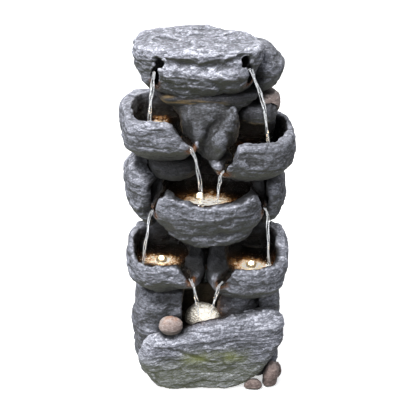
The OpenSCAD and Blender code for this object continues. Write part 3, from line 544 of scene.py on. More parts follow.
def weather(mesh, stained, dryShare):
    # wet, rust and lamp light painted on a stone, from where it stands to the basins and the lamps; the rust a
    # stone brings in is painted lamp light on the neck slab
    points = readPoints(mesh) / mm
    normals = readNormals(mesh)
    ragged = lattice(points, 9, 5) * 3 + lattice(points, 4, 6) * 1.5
    wet = np.zeros(len(points))
    rust = np.zeros(len(points)) + stained
    glow = np.zeros(len(points))
    below = np.zeros(len(points))
    for basin in basins.values():
        close = (points[:, 2] > basin["floor"] - 8) & (points[:, 2] < basin["rim"] + 6)
        if not close.any():
            continue
        p = points[close]
        inside = insideOf(p[:, :2], basin["outline"], soaking["grow"]) + ragged[close] * 0.6
        low = 1 - ease(basin["water"] + 10, basin["rim"] - 4, p[:, 2] + ragged[close])
        facing = ease(-0.25, 0.15, normals[close][:, 2] + 0.4)
        wet[close] = np.maximum(wet[close], ease(-1, 4, inside) * (0.25 + 0.75 * low) * facing)
        below[close] = np.maximum(below[close], 1 - ease(basin["water"], basin["water"] + 7, p[:, 2]))
    for basin in basins.values():
        for a, b in basin["runs"]:
            d = nearRun(points, a, b) + ragged
            wet = np.maximum(wet, 1 - ease(*soaking["runs"], d))
            late = np.array(a) + (np.array(b) - np.array(a)) * soaking["rustFrom"]
            end = nearRun(points, late, b) + 1.5 * ragged
            rust = np.maximum(rust, soaking["rust"] * (1 - ease(*soaking["rustRuns"], end)))
    for name, spot in lampSpots.items():
        at = np.array(spot.get("shine", spot["at"]), float)
        d = np.linalg.norm((points - at) * np.array(soaking["lampSpread"]), axis=1) + ragged * 0.8
        light = spot["glow"] * np.exp(-(np.maximum(d, 0) / spot["wide"]) ** 2)
        if spot.get("dry"):
            glow = np.maximum(glow, light * dryShare)
        else:
            glow = np.maximum(glow, light * np.clip(wet * 1.4, 0, 1) * below)
    paint(mesh, "wet", wet)
    paint(mesh, "rust", rust)
    paint(mesh, "glow", glow)


def bend(mesh, points, normals):
    # how far each point stands proud of its neighbours, near and wide
    pairs = np.empty(len(mesh.edges) * 2, np.int64)
    mesh.edges.foreach_get("vertices", pairs)
    a, b = pairs.reshape(-1, 2).T
    degree = np.maximum(np.bincount(a, minlength=len(points)) + np.bincount(b, minlength=len(points)), 1)

    def spread(values):
        out = np.empty_like(values)
        for axis in range(values.shape[1]):
            v = values[:, axis]
            out[:, axis] = (np.bincount(a, v[b], len(points)) + np.bincount(b, v[a], len(points))) / degree
        return out

    near = spread(points)
    small = np.einsum("ij,ij->i", points - near, normals)
    wide = near
    for _ in range(chisel["wideSteps"]):
        wide = spread(wide)
    large = np.einsum("ij,ij->i", points - wide, normals)
    return small, large


# how much of the room each place sees, for the painted shade that darkens the recesses and stands also for the
# dark wash

opennessLook = {"step": 0.009, "reach": 0.13, "rays": 22, "off": 0.008, "dark": 0.14, "span": 0.36}


def measureOpenness():
    step, reach = opennessLook["step"], opennessLook["reach"]
    corners, faces = [], []
    for name in [*stoneLooks, *joinedStones]:
        mesh = frame["nodes"][name].data
        first = len(corners)
        corners.extend(v.co.copy() for v in mesh.vertices)
        faces.extend([first + i for i in polygon.vertices] for polygon in mesh.polygons)
    tree = BVHTree.FromPolygons(corners, faces)
    low = np.array(cadBox[0]) - 3 * step
    counts = np.ceil((np.array(cadBox[1]) + 3 * step - low) / step).astype(int) + 1
    turns = np.arange(opennessLook["rays"]) + 0.5
    z = 1 - 2 * turns / len(turns)
    around = turns * math.pi * (3 - math.sqrt(5))
    ways = np.stack([np.sqrt(1 - z * z) * np.cos(around), np.sqrt(1 - z * z) * np.sin(around), z], 1)
    weights = 0.55 + 0.45 * ways[:, 2]
    weights = np.clip(weights, 0.1, None) / np.clip(weights, 0.1, None).sum()
    rays = [(Vector(way), weight) for way, weight in zip(ways, weights)]
    grid = np.zeros(counts)
    valid = np.zeros(counts, bool)
    for i in range(counts[0]):
        for j in range(counts[1]):
            for k in range(counts[2]):
                at = Vector(low + np.array([i, j, k]) * step)
                seen, behind = 0.0, 0
                for way, weight in rays:
                    hit, normal, _, _ = tree.ray_cast(at, way, reach)
                    if hit is None:
                        seen += weight
                    elif normal.dot(way) > 0:
                        behind += 1
                grid[i, j, k] = seen
                valid[i, j, k] = behind < 0.4 * len(rays)
    for _ in range(3):
        total, number = np.zeros(counts), np.zeros(counts)
        for axis in range(3):
            for shift in (-1, 1):
                total += np.roll(np.where(valid, grid, 0), shift, axis)
                number += np.roll(valid, shift, axis)
        fresh = ~valid & (number > 0)
        grid[fresh] = total[fresh] / number[fresh]
        valid |= fresh
    return low, grid


def opennessAt(points):
    low, grid = opennessField
    p = np.clip((points - low) / opennessLook["step"], 0, np.array(grid.shape) - 1.001)
    cell = p.astype(int)
    f = p - cell
    total = np.zeros(len(points))
    for corner in range(8):
        step = np.array([corner & 1, corner >> 1 & 1, corner >> 2 & 1])
        share = np.prod(np.where(step, f, 1 - f), axis=1)
        i, j, k = (cell + step).T
        total += share * grid[i, j, k]
    return total


def paintedNeckLampLight(p):
    # painted lamp light: ochre lines on the strata over the upper left basin, where its lamp lights them
    lines = np.clip(lattice(p * np.array([0.25, 0.6, 1.6]), 9, 2) * 1.6, 0, 1)
    return 0.7 * lines * ease(-90, -60, p[:, 0]) * (1 - ease(-10, 40, p[:, 0]))


def pebbleTop(p):
    return 0.8 * ease(130, 146, p[:, 2]) * np.clip(0.5 + lattice(p, 8, 2), 0, 1)


def slabMoss(p):
    # a mossy band low on the slab, and a faint green below it
    band = np.exp(-((p[:, 2] - 70 - 0.05 * p[:, 0]) / 13) ** 2)
    band *= ease(-64, -20, p[:, 0]) * (1 - ease(44, 84, p[:, 0]))
    patchy = 0.55 + 0.6 * lattice(p, 22, 3)
    return np.clip(1.15 * band * patchy + 0.34 * (1 - ease(40, 80, p[:, 2])), 0, 1)


# stones: size of the mesh's cells, lumps, chips and beds in millimetres, and the finish where it isn't slate

# shade makes a whole stone lighter or darker; on the stones that stand back (the columns, the saddle, the neck
# slab, the shelf) it is painted shade
stoneLooks = {
    "base_basin": {"cell": 2.4, "lumps": 4.5, "chips": 2.8, "beds": (36, 0.04, 1.1), "shade": -0.05},
    "front_slab": {"cell": 1.7, "lumps": 2.2, "chips": 2.2, "beds": (17, 0.17, 2.1), "finish": "slab",
                   "shade": 0.08, "moss": slabMoss},
    "round_pebble": {"cell": 1.5, "lumps": 1.2, "chips": 0.4, "finish": "rosy", "shade": 0.05,
                     "rust": pebbleTop},
    "foot_pebbles": {"cell": 1.5, "lumps": 1.5, "chips": 1.1, "finish": "rosy", "shade": -0.16},
    "splash_shelf": {"cell": 2.6, "lumps": 1.9, "chips": 2.2, "beds": (30, 0, 1.0), "finish": "dark",
                     "shade": -0.12},
    "splash_stone": {"cell": 1.5, "lumps": 1.5, "chips": 1.4, "finish": "pale", "shade": 0.28},
    "column_stone_low": {"cell": 2.4, "lumps": 5.2, "chips": 4.2, "beds": (30, 0.06, 1.8), "shade": -0.06},
    "column_stone_mid": {"cell": 2.4, "lumps": 5.2, "chips": 4.2, "beds": (34, -0.05, 1.8), "shade": -0.06},
    "column_stone_high": {"cell": 2.4, "lumps": 5.2, "chips": 4.2, "beds": (32, 0.03, 1.8), "shade": -0.06},
    "lower_left_bowl": {"cell": 2.0, "lumps": 3.6, "chips": 3.2, "beds": (27, 0.05, 1.8), "shade": 0.0},
    "lower_right_bowl": {"cell": 2.0, "lumps": 3.6, "chips": 2.8, "beds": (31, -0.04, 1.9), "shade": 0.04},
    "lower_neck_stone": {"cell": 1.8, "lumps": 2.0, "chips": 2.0, "finish": "dark", "shade": 0.02},
    "middle_bowl": {"cell": 2.0, "lumps": 3.6, "chips": 2.9, "beds": (33, 0.06, 1.8), "shade": -0.04,
                    "also": ["middle_ledge_stone"]},
    "middle_left_rock": {"cell": 1.9, "lumps": 3.9, "chips": 3.4, "beds": (38, 0.1, 1.6), "shade": 0.0},
    "middle_right_rock": {"cell": 1.9, "lumps": 3.9, "chips": 3.4, "beds": (38, -0.1, 1.6), "shade": -0.12},
    "middle_neck_stone": {"cell": 1.8, "lumps": 2.2, "chips": 2.2, "finish": "dark", "shade": -0.02},
    "upper_left_bowl": {"cell": 2.0, "lumps": 3.6, "chips": 2.9, "beds": (29, 0.05, 1.9), "shade": -0.01},
    "upper_right_bowl": {"cell": 2.0, "lumps": 3.6, "chips": 3.1, "beds": (28, -0.05, 1.8), "shade": -0.10},
    "saddle_stone": {"cell": 1.8, "lumps": 2.2, "chips": 2.2, "shade": -0.24, "soften": 9},
    "right_neck_stone_low": {"cell": 1.6, "lumps": 1.5, "chips": 2.0, "finish": "dark", "shade": -0.02},
    "right_neck_stone_high": {"cell": 1.6, "lumps": 1.5, "chips": 1.7, "finish": "rosy", "shade": 0.0},
    # the neck slab's ochre lines are painted lamp light, carried as its rust
    "upper_neck_slab": {"cell": 1.8, "lumps": 2.0, "chips": 2.2, "beds": (9, -0.03, 2.1), "finish": "dark",
                        "shade": -0.10, "rust": paintedNeckLampLight},
    # a painted highlight patch on the front of the cap, and a darker patch by the left mouth
    "top_bowl": {"cell": 1.9, "lumps": 4.2, "chips": 3.4, "beds": (22, -0.06, 1.8), "shade": 0.06,
                 "also": ["cap_stone"], "patches": [((4, -104, 562), 24, 0.13), ((-92, -90, 574), 22, -0.06)]},
    "crown_rock": {"cell": 1.8, "lumps": 2.2, "chips": 2.5, "beds": (26, -0.04, 1.8), "shade": -0.04},
}

joinedStones = [other for look in stoneLooks.values() for other in look.get("also", [])]

# sizes of what the chisel leaves, in metres, and how proud an edge stands to look brushed and take a painted
# highlight, in millimetres
chisel = {"lump": 0.055, "chip": 0.024, "flake": 0.012, "wave": 0.004, "bedPatch": 0.06, "fineBeds": 0.37,
          "grit": 0.006, "edges": (0.20, 1.0), "wideSteps": 14}


def workStone(piece, look, seed, hold=None):
    # a smooth blank becomes worn cast stone: lumps, beds and chips, then the numbers the finish reads
    mesh = piece.data
    points = readPoints(mesh)
    normals = readNormals(mesh)
    side = 1 - 0.75 * normals[:, 2] ** 2
    calm = np.ones(len(points)) if hold is None else 1 - hold(points)
    squat = points * np.array([1, 1, 1.5])
    push = look["lumps"] * layered(squat, chisel["lump"], seed, 2)
    wavy = squat + chisel["wave"] * lattice(points, 0.02, seed)[:, None]
    push += look["chips"] * 0.7 * chiselled(wavy, chisel["chip"], seed + 3)
    push += look["chips"] * 0.3 * chiselled(points * np.array([1, 1, 2.2]), chisel["flake"], seed + 5)
    if "beds" in look:
        spacing, slope, depth = look["beds"]
        comes = ease(-0.35, 0.35, lattice(points, chisel["bedPatch"], seed + 8))
        push += depth * side * comes * bedding(points, spacing * mm, slope, seed)
        fine = bedding(points, spacing * mm * chisel["fineBeds"], slope * 1.4, seed + 2)
        push += 0.45 * depth * side * (1 - 0.5 * comes) * fine
    push += 0.35 * lattice(squat, chisel["grit"], seed + 9)
    # basins stay calm under the water, so the lamps sit flat
    points = points + normals * (push * calm * mm)[:, None]
    writePoints(mesh, points)
    # edges painted pale (dry brush with a painted highlight), hollows painted darker (painted shade)
    small, large = bend(mesh, points, readNormals(mesh))
    near, wide = chisel["edges"]
    edge = np.clip(small / (near * mm), -1, 1) * 0.55 + np.clip(large / (wide * mm), -1, 1) * 0.65
    paint(mesh, "edge", edge)
    # painted shade: the less of the room a point sees, the darker it is painted
    seen = opennessAt(points + readNormals(mesh) * opennessLook["off"])
    paint(mesh, "open", np.clip((seen - opennessLook["dark"]) / opennessLook["span"], 0, 1) ** 2.0)
    # tone: the stone's shade, with painted shade on stones set back, plus patches such as the painted highlight on
    # the cap
    shade = np.full(len(points), float(look["shade"]))
    for place, wide, more in look.get("patches", []):
        shade += more * np.exp(-(np.linalg.norm(points / mm - np.array(place), axis=1) / wide) ** 2)
    paint(mesh, "tone", shade)
    paint(mesh, "moss", look["moss"](points / mm) if "moss" in look else np.zeros(len(points)))
    dryShare = soaking["paleShare" if look.get("finish") == "pale" else "dryShare"]
    weather(mesh, look["rust"](points / mm) if "rust" in look else 0, dryShare)


def nearLamps(points):
    # a lamp's flange lies flat on the stone around it
    held = np.zeros(len(points))
    for spot in lampSpots.values():
        at = np.array(spot["at"], float) * mm
        held = np.maximum(held, 1 - ease(0.012, 0.022, np.linalg.norm(points - at, axis=1)))
    return held


def nearDoor(points):
    # the seat for the door, the latch and the gland stays flat, and so does the underside
    x, y, z = points.T
    seat = ease(0.092, 0.1, y) * ease(-0.072, -0.062, x) * (1 - ease(0.09, 0.1, x))
    seat = seat * ease(0.052, 0.060, z) * (1 - ease(0.158, 0.166, z))
    return np.maximum(np.maximum(seat, 1 - ease(0.005, 0.012, points[:, 2])), nearLamps(points))


def lowerFront(floor, keep):
    # the front of a rim sits lower than its sides
    def move(p, n):
        share = 1 - ease(-80, -25, p[:, 1])
        z = np.where(p[:, 2] > floor, floor + (p[:, 2] - floor) * (1 - share * (1 - keep)), p[:, 2])
        return np.column_stack([p[:, 0], p[:, 1], z])
    return move


def tuckUnder(centre, low, high, scale):
    # the underside draws in below the bowl's belly
    def move(p, n):
        s = 1 - (1 - scale) * (1 - ease(low, high, p[:, 2]))
        x = centre[0] + (p[:, 0] - centre[0]) * s
        y = centre[1] + (p[:, 1] - centre[1]) * np.where(p[:, 1] < centre[1], s, 1)
        return np.column_stack([x, y, p[:, 2]])
    return move


def slopeTo(start, end, floor, keep, before):
    # the rim runs down sideways to a spout, for the part in front of a given depth
    def move(p, n):
        t = np.clip((p[:, 0] - start) / (end - start), 0, 1)
        share = t * t * (3 - 2 * t) * (1 - ease(before - 6, before + 6, p[:, 1]))
        z = np.where(p[:, 2] > floor, floor + (p[:, 2] - floor) * (1 - share * (1 - keep)), p[:, 2])
        return np.column_stack([p[:, 0], p[:, 1], z])
    return move


def frontGroove(path, depth, width):
    # a worn line across the front, or a swelling where the depth is below nothing
    def move(p, n):
        flat = p[:, [0, 2]]
        away = np.min([nearRun(flat, a, b) for a, b in zip(path, path[1:])], axis=0)
        push = depth * np.exp(-(away / width) ** 2) * ease(0.05, 0.5, -n[:, 1])
        return p - n * push[:, None]
    return move


def bevelSlab(p, n):
    # the slab's upper edge leans back
    line = 99 + np.maximum(p[:, 0] + 36, 0) * 0.21
    above = np.maximum(p[:, 2] - line, 0) * (1 - ease(-108, -94, p[:, 1]))
    return np.column_stack([p[:, 0], p[:, 1] + 0.55 * above, p[:, 2]])


def fatten(p, n):
    # the pebbles swell, but not down through the floor
    more = 1.6
    return np.column_stack([p[:, :2] + more * n[:, :2], p[:, 2] + more * np.maximum(n[:, 2], 0)])


# vertex moves, given in millimetres, made on a stone before its surface is worked
shapings = {
    "top_bowl": [frontGroove([(-72, 585), (-42, 580), (-12, 576), (26, 580), (56, 588)], 6, 7),
                 frontGroove([(-60, 560), (-10, 556), (50, 562)], -4.5, 13)],
    "foot_pebbles": [fatten],
    "saddle_stone": [frontGroove([(40, 512), (14, 486), (-10, 452), (-16, 426)], 6, 6),
                     frontGroove([(-34, 500), (-30, 470), (-24, 446)], 3.5, 5),
                     frontGroove([(12, 470), (20, 444), (14, 420)], -4, 7)],
    "front_slab": [bevelSlab, frontGroove([(-66, 86), (-44, 80), (-14, 66), (12, 60)], 3.8, 3.2),
                   frontGroove([(-80, 66), (-40, 50), (20, 40), (60, 44)], 1.8, 4)],
    "upper_left_bowl": [lowerFront(476, 0.72), tuckUnder((-80, -22), 412, 452, 0.74),
                        slopeTo(-66, -34, 452, 0.25, -70), slopeTo(-48, -36, 462, 0.35, 40)],
    "upper_right_bowl": [tuckUnder((76, -38), 380, 416, 0.77), slopeTo(50, 32, 412, 0.5, -76),
                         slopeTo(50, 38, 422, 0.3, 60)],
    "middle_bowl": [lowerFront(350, 0.48), tuckUnder((0, -30), 293, 322, 0.90),
                    slopeTo(-66, -96, 318, 0.45, -50), slopeTo(74, 96, 320, 0.55, -50),
                    frontGroove([(-80, 316), (-40, 303), (0, 297), (60, 304)], 1.6, 3.5),
                    frontGroove([(-84, 344), (-52, 330), (-10, 326), (30, 340), (70, 356)], -3, 8)],
    "lower_left_bowl": [lowerFront(225, 0.55), tuckUnder((-80, -36), 176, 210, 0.76),
                        slopeTo(-60, -32, 214, 0.35, -76)],
    "lower_right_bowl": [lowerFront(220, 0.46), tuckUnder((74, -44), 163, 196, 0.80),
                         slopeTo(44, 28, 208, 0.5, -80),
                         frontGroove([(20, 196), (60, 184), (110, 192)], 2.0, 3.5)],
}


def addBlob(place, radii, turn=(0, 0, 0)):
    # a lump of clay, in millimetres and degrees
    clearSelection()
    bpy.ops.mesh.primitive_uv_sphere_add(segments=28, ring_count=18, location=Vector(place) * mm,
                                         rotation=[math.radians(a) for a in turn])
    blob = bpy.context.object
    blob.scale = Vector(radii) * mm
    return settle(blob, "blob")


def addBar(start, end, radius):
    # a round bar between two places, in millimetres, with domed ends
    start, end = Vector(start), Vector(end)
    middle = (start + end) / 2
    way = (end - start).to_track_quat("Z", "Y").to_euler()
    half = (end - start).length / 2 + radius * 0.6
    return addBlob(middle, (radius, radius, half), [math.degrees(a) for a in way])


def joinInto(piece, *others):
    makeActive(piece)
    for other in others:
        other.select_set(True)
    bpy.ops.object.join()


def cutAway(piece, *cutters):
    for cutter in cutters:
        addModifier(piece, "BOOLEAN", operation="DIFFERENCE", solver="EXACT", object=cutter)
        bpy.data.objects.remove(cutter)


def buildTop(piece):
    # cap and bowl of the top rock read as one: a belt fills the joint, and two mouths are cut through it
    belt = copyOfNode("cap_stone", "belt")
    points = readPoints(belt.data)
    centre = np.array([-0.017, -0.01])
    points[:, :2] = centre + (points[:, :2] - centre) * 0.972
    points[:, 2] = 0.5585 + (points[:, 2] - 0.574) * 1.15
    writePoints(belt.data, points)
    cap = copyOfNode("cap_stone", "cap")
    joinInto(piece, belt, cap)
    addModifier(piece, "REMESH", mode="VOXEL", voxel_size=1.9 * mm, adaptivity=0)
    cutAway(piece, addBar((-66, -50, 574), (-83, -98, 584), 9), addBar((-84, -98, 580), (-87, -106, 540), 5.5),
            addBar((50, -46, 576), (64, -96, 584), 8.5), addBar((62, -94, 586), (84, -104, 536), 6.5))


def buildMiddle(piece):
    # the boat-shaped bowl and the ledge under it are one rough block
    ledge = copyOfNode("middle_ledge_stone", "ledge")
    points = readPoints(ledge.data)
    points[:, :2] *= 0.97
    points[:, 2] += 0.006
    writePoints(ledge.data, points)
    low = copyOfNode("middle_ledge_stone", "lowLedge")
    joinInto(piece, ledge, low)


saddleLumps = [
    ((-2, -56, 476), (38, 31, 42), (10, -6, 0)), ((-13, -78, 459), (20, 22, 34), (26, -16, 0)),
    ((29, -68, 474), (18, 22, 38), (20, 18, 0)), ((17, -88, 448), (14, 18, 32), (22, 14, 0)),
    ((4, -74, 440), (20, 16, 22)), ((0, -38, 503), (60, 36, 27)),
    ((-25, -62, 474), (19, 26, 32), (12, -8, 0)), ((34, -58, 464), (17, 26, 34), (12, 8, 0)),
]


def buildSaddle(piece):
    # one soft fold of stone between the two upper spouts
    joinInto(piece, *[addBlob(*lump) for lump in saddleLumps])
    addModifier(piece, "REMESH", mode="VOXEL", voxel_size=4.5 * mm, adaptivity=0)
    addModifier(piece, "SMOOTH", factor=0.5, iterations=6)


# lumps joined to a stone before it is worked
builds = {
    "top_bowl": buildTop,
    "middle_bowl": buildMiddle,
    "saddle_stone": buildSaddle,
    "base_basin": lambda piece: joinInto(piece, addBlob((52, -62, 142), (34, 26, 40), (8, 0, 0))),
}


knuckle = {"radius": 0.0039, "wall": 0.0022, "rounding": 0.0004, "cutBehind": 0.10705}


def addStone(node, look, seed):
    piece = copyOfNode(node, "rock_" + node)
    if node in builds:
        builds[node](piece)
    if node == "base_basin":
        # the hinge knuckles are cut off here and made as their own piece
        editAll(bpy.ops.mesh.bisect, plane_co=(0, knuckle["cutBehind"], 0), plane_no=(0, 1, 0),
                clear_outer=True, use_fill=True)
    addModifier(piece, "REMESH", mode="VOXEL", voxel_size=look["cell"] * mm, adaptivity=0)
    for move in shapings.get(node, []):
        writePoints(piece.data, move(readPoints(piece.data) / mm, readNormals(piece.data)) * mm)
    addModifier(piece, "SMOOTH", factor=0.5, iterations=look.get("soften", 10))
    workStone(piece, look, seed, nearDoor if node == "base_basin" else nearLamps)
    finish = look.get("finish", "slate")
    coat(piece, stones[finish])
    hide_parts(node, *look.get("also", []))
    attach(piece, "fountain")
    return piece


opennessField = measureOpenness()
print("recesses are measured")

rocks = {}
for number, (node, look) in enumerate(stoneLooks.items()):
    rocks[node] = addStone(node, look, 11 + 3 * number)
print("stones are worked:", sum(len(r.data.polygons) for r in rocks.values()), "faces")


# plain finishes for the small made parts

def plastic(name, colour, rough, speckle=0.35):
    material, tree, shader = newMaterial(name)
    where = objectPoints(tree)
    fine = grain(tree, where, 900, 3, 0.6)
    wear = grain(tree, where, 60, 4, 0.6)
    light = tuple(min(1, c * 1.6 + 0.02) for c in colour)
    dark = tuple(c * 0.6 for c in colour)
    tree.links.new(ramp(tree, wear, [(0.2, dark), (0.5, colour), (0.85, light)]), shader.inputs["Base Color"])
    tree.links.new(weighted(tree, [(wear, 0.3)], rough - 0.15, True), shader.inputs["Roughness"])
    roughen(tree, shader, fine, speckle, 0.0003)
    return material


def metal(name, colour):
    material, tree, shader = newMaterial(name)
    brushed = grain(tree, objectPoints(tree, (1, 1, 0.06)), 1400, 3, 0.6)
    dark = tuple(c * 0.7 for c in colour)
    tree.links.new(ramp(tree, brushed, [(0.2, dark), (0.8, colour)]), shader.inputs["Base Color"])
    tree.links.new(weighted(tree, [(brushed, 0.2)], 0.2), shader.inputs["Roughness"])
    shader.inputs["Metallic"].default_value = 1
    roughen(tree, shader, brushed, 0.15, 0.0002)
    return material


def clear(name, colour, rough, through=0.9, ior=1.45):
    material, tree, shader = newMaterial(name)
    cloud = grain(tree, objectPoints(tree), 120, 3, 0.5)
    dark = tuple(c * 0.9 for c in colour)
    tree.links.new(ramp(tree, cloud, [(0.2, dark), (0.8, colour)]), shader.inputs["Base Color"])
    tree.links.new(weighted(tree, [(cloud, 0.1)], rough), shader.inputs["Roughness"])
    shader.inputs["Transmission Weight"].default_value = through
    shader.inputs["IOR"].default_value = ior
    roughen(tree, shader, cloud, 0.1, 0.0003)
    return material


finishes = {
    "black_plastic": plastic("blackPlastic", (0.02, 0.02, 0.022), 0.42),
    "grey_plastic": plastic("greyPlastic", (0.10, 0.10, 0.11), 0.45),
    "white_plastic": plastic("whitePlastic", (0.72, 0.73, 0.73), 0.4),
    "lamp_plastic": plastic("lampPlastic", (0.42, 0.33, 0.20), 0.3),
    "clear_hose": clear("clearHose", (0.86, 0.92, 0.92), 0.12),
    "steel": metal("steel", (0.62, 0.62, 0.63)),
    "shaft_ceramic": plastic("shaftCeramic", (0.82, 0.80, 0.76), 0.18, 0.1),
    "rubber": plastic("rubber", (0.025, 0.025, 0.026), 0.75),
    "lead_sheath": plastic("leadSheath", (0.018, 0.018, 0.02), 0.6),
}

lensMaterial, tree, shader = newMaterial("lampLens")
core = grain(tree, objectPoints(tree), 500, 2)
warm = ramp(tree, core, [(0.2, (1.0, 0.80, 0.48)), (0.7, (1.0, 0.95, 0.80))])
tree.links.new(warm, shader.inputs["Base Color"])
tree.links.new(warm, shader.inputs["Emission Color"])
shader.inputs["Emission Strength"].default_value = 5
shader.inputs["Roughness"].default_value = 0.2
finishes["lamp_lens"] = lensMaterial

slots = {part["node"]: part["material_slot"] for part in frame["record"]["subparts"]}
for name, node in frame["nodes"].items():
    if name in ("access_door", *stoneLooks, *joinedStones):
        continue
    node.data.materials.clear()
    node.data.materials.append(finishes[slots[name]])
print("small parts are finished")


# warm lamps under the water

lampLight = {"tint": (1.0, 0.74, 0.42), "size": 0.005, "above": 0.022}

for name, spot in lampSpots.items():
    data = bpy.data.lights.new("glow_" + name, "POINT")
    data.energy = spot["power"]
    data.color = lampLight["tint"]
    data.shadow_soft_size = lampLight["size"]
    light = bpy.data.objects.new("glow_" + name, data)
    scene.collection.objects.link(light)
    light.location = Vector(spot["at"]) * mm + Vector((0, 0, lampLight["above"]))


# water: still sheets in the basins and twisted falling threads

waterMaterial, tree, shader = newMaterial("water")
ripple = grain(tree, objectPoints(tree), 95, 3, 0.5, 0.8)
shader.inputs["Base Color"].default_value = (0.97, 0.98, 1.0, 1)
shader.inputs["Transmission Weight"].default_value = 1.0
shader.inputs["IOR"].default_value = 1.33
tree.links.new(maths(tree, "MULTIPLY", ripple, 0.05), shader.inputs["Roughness"])
roughen(tree, shader, ripple, 0.35, 0.0015)

streamMaterial, tree, shader = newMaterial("fallingWater")
shine = grain(tree, objectPoints(tree, (1, 1, 0.3)), 260, 3, 0.5, 0.5)
tree.links.new(ramp(tree, shine, [(0.3, (0.80, 0.83, 0.86)), (0.7, (1, 1, 1))]), shader.inputs["Base Color"])
shader.inputs["Transmission Weight"].default_value = 0.88
# a faint white glow is painted into the falling water, standing in for its highlights
shader.inputs["Emission Color"].default_value = (0.93, 0.96, 1, 1)
shader.inputs["Emission Strength"].default_value = 0.10
shader.inputs["IOR"].default_value = 1.33
shader.inputs["Roughness"].default_value = 0.06
roughen(tree, shader, shine, 0.3, 0.0008)

falls = {
    "top_left": {"path": [(-82, -96, 572), (-85, -103, 548), (-88, -103, 526),
                          (-90, -96, 498), (-91, -88, 463)], "thick": 1.1},
    "top_right": {"path": [(64, -94, 576), (73, -100, 556), (82, -100, 532),
                           (90, -90, 494), (98, -70, 421)], "thick": 1.1},
    "upper_left": {"path": [(-31, -108, 456), (-24, -114, 449), (-18, -115, 428),
                            (-13, -110, 395), (-9, -98, 351)], "thick": 1.1},
    "upper_right": {"path": [(24, -108, 414), (20, -114, 408), (18, -115, 396),
                             (16, -110, 376), (14, -98, 351)], "thick": 1.0},
    "middle_left": {"path": [(-90, -84, 334), (-95, -93, 326), (-99, -96, 300),
                             (-105, -93, 262), (-110, -84, 225)], "thick": 0.9},
    "middle_right": {"path": [(92, -80, 336), (97, -90, 328), (98, -95, 296),
                              (100, -92, 258), (102, -84, 219)], "thick": 0.9},
    "lower_left": {"path": [(-30, -108, 219), (-25, -115, 213), (-21, -116, 194),
                            (-18, -108, 168), (-16, -88, 136)], "thick": 1.0},
    "lower_right": {"path": [(24, -108, 214), (18, -115, 209), (13, -115, 190),
                             (8, -106, 166), (2, -86, 138)], "thick": 1.0},
}


def alongPath(path, share):
    # a point on the smooth line through the given points
    p = np.array(path, float)
    n = len(p) - 1
    x = min(share, 0.99999) * n
    i = int(x)
    t = x - i
    a, b, c, d = p[max(i - 1, 0)], p[i], p[i + 1], p[min(i + 2, n)]
    return 0.5 * (2 * b + (c - a) * t + (2 * a - 5 * b + 4 * c - d) * t * t + (3 * b - a - 3 * c + d) * t ** 3)


# strands wind round each other, and swell and thin on their way down
rope = {"strands": 3, "steps": 44, "twist": 7, "cell": 0.5}


def addFall(name, look, seed):
    strands = []
    for strand in range(rope["strands"]):
        curve = bpy.data.curves.new("strand", "CURVE")
        curve.dimensions = "3D"
        curve.bevel_depth = look["thick"] * mm
        curve.bevel_resolution = 3
        curve.use_fill_caps = True
        line = curve.splines.new("NURBS")
        steps = rope["steps"]
        line.points.add(steps)
        for i in range(steps + 1):
            share = i / steps
            at = alongPath(look["path"], share)
            turn = math.pi * 2 / rope["strands"] * strand + share * rope["twist"] + seed
            apart = look["thick"] * (1.0 + 1.5 * abs(math.sin(share * 6 + seed)))
            point = at + np.array([math.cos(turn), 0.6 * math.sin(turn), 0]) * apart
            line.points[i].co = (*(point * mm), 1)
            swell = 0.25 * math.sin(share * 23 + 2.1 * strand + seed)
            line.points[i].radius = 0.62 + swell + 0.2 * (1 - share)
        line.use_endpoint_u = True
        line.order_u = 3
        piece = bpy.data.objects.new("strand", curve)
        scene.collection.objects.link(piece)
        makeActive(piece)
        bpy.ops.object.convert(target="MESH")
        strands.append(bpy.context.object)
    joinInto(*strands)
    piece = settle(bpy.context.object, "fall_" + name)
    addModifier(piece, "REMESH", mode="VOXEL", voxel_size=rope["cell"] * mm, adaptivity=0)
    addModifier(piece, "SMOOTH", factor=0.5, iterations=3)
    coat(piece, streamMaterial)
    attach(piece, "fountain")


for number, (name, look) in enumerate(falls.items()):
    addFall(name, look, 1.7 * number)


# the water's swell and the rings where threads land, in millimetres
pool = {"cells": 64, "thick": 3, "swell": 0.25, "swellSize": 16, "ring": 0.5, "ringSize": 1.6, "ringFade": 8}


def addWater(name, basin):
    # a grid drawn out to the basin's outline, with rings where the threads land
    clearSelection()
    bpy.ops.mesh.primitive_grid_add(x_subdivisions=pool["cells"], y_subdivisions=pool["cells"], size=2)
    piece = bpy.context.object
    points = readPoints(piece.data)
    x, y = points[:, 0], points[:, 1]
    disc = np.stack([x * np.sqrt(1 - y * y / 2), y * np.sqrt(1 - x * x / 2)], 1)
    outline = np.array(basin["outline"], float)
    middle = outline.mean(0)
    angles = np.arctan2(outline[:, 1] - middle[1], outline[:, 0] - middle[0])
    reach = np.linalg.norm(outline - middle, axis=1)
    order = np.argsort(angles)
    angle = np.arctan2(disc[:, 1], disc[:, 0])
    radius = np.interp(angle, angles[order], reach[order], period=2 * math.pi) * np.linalg.norm(disc, axis=1)
    flat = middle + np.stack([np.cos(angle), np.sin(angle)], 1) * radius[:, None]
    height = np.full(len(flat), float(basin["water"]))
    height += pool["swell"] * lattice(np.column_stack([flat, height]), pool["swellSize"], 4)
    for fall in falls.values():
        end = np.array(fall["path"][-1], float)
        if abs(end[2] - basin["water"]) < 6:
            d = np.linalg.norm(flat - end[:2], axis=1)
            height += pool["ring"] * np.cos(d / pool["ringSize"]) * np.exp(-d / pool["ringFade"])
    writePoints(piece.data, np.column_stack([flat, height]) * mm)
    settle(piece, "water_" + name)
    addModifier(piece, "SOLIDIFY", thickness=pool["thick"] * mm, offset=-1)
    coat(piece, waterMaterial)
    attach(piece, "fountain")


for name, basin in basins.items():
    addWater(name, basin)
print("water is poured")


# door at the back: a thin cast panel with the same worn face, and its hinge knuckles

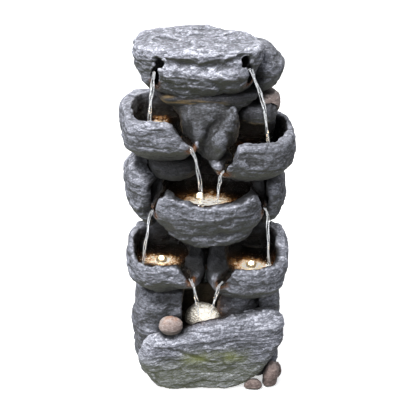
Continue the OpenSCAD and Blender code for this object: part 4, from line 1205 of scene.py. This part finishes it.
doorLook = {"cell": 1.3, "lumps": 0.5, "chips": 0.9, "beds": (13, 0.04, 0.7), "shade": -0.08,
            "hingeEdge": -0.0352, "smoothTo": (0.1085, 0.1105)}
low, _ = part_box("access_door")
hinge = next(j for j in frame["joints"] if j["child"] == "door")
door = copyOfNode("access_door", "doorPanel")
editAll(bpy.ops.mesh.bisect, plane_co=(doorLook["hingeEdge"], 0, 0), plane_no=(-1, 0, 0),
        clear_outer=True, use_fill=True)
addModifier(door, "REMESH", mode="VOXEL", voxel_size=doorLook["cell"] * mm, adaptivity=0)
addModifier(door, "SMOOTH", factor=0.5, iterations=2)


def innerFace(points):
    return 1 - ease(*doorLook["smoothTo"], points[:, 1])


workStone(door, doorLook, 91, innerFace)
points = readPoints(door.data)
points[:, 1] = np.maximum(points[:, 1], low.y + 0.0001)
writePoints(door.data, points)
coat(door, stones["slate"])
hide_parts("access_door")
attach(door, "door")


def addKnuckle(name, body, bottom, top):
    # a round knuckle around the hinge pin
    clearSelection()
    x, y, _ = hinge["pos_m"]
    bpy.ops.mesh.primitive_cylinder_add(vertices=40, radius=knuckle["radius"], depth=top - bottom,
                                        location=(x, y, (bottom + top) / 2))
    piece = settle(bpy.context.object, name)
    bpy.ops.object.mode_set(mode="EDIT")
    bpy.ops.mesh.select_mode(type="FACE")
    bpy.ops.mesh.select_all(action="DESELECT")
    bpy.ops.object.mode_set(mode="OBJECT")
    for face in piece.data.polygons:
        face.select = abs(face.normal.z) > 0.9
    bpy.ops.object.mode_set(mode="EDIT")
    bpy.ops.mesh.inset(thickness=knuckle["wall"], depth=0)
    bpy.ops.mesh.bridge_edge_loops()
    bpy.ops.object.mode_set(mode="OBJECT")
    addModifier(piece, "BEVEL", width=knuckle["rounding"], segments=2, limit_method="ANGLE", angle_limit=0.6)
    bpy.ops.object.shade_smooth_by_angle(angle=0.6)
    piece.data.materials.append(stones["slate"])
    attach(piece, body)


addKnuckle("doorKnuckle", "door", 0.0945, 0.1255)
addKnuckle("baseKnuckleLow", "fountain", 0.0805, 0.0875)
addKnuckle("baseKnuckleHigh", "fountain", 0.1325, 0.1395)
print("door is hung")
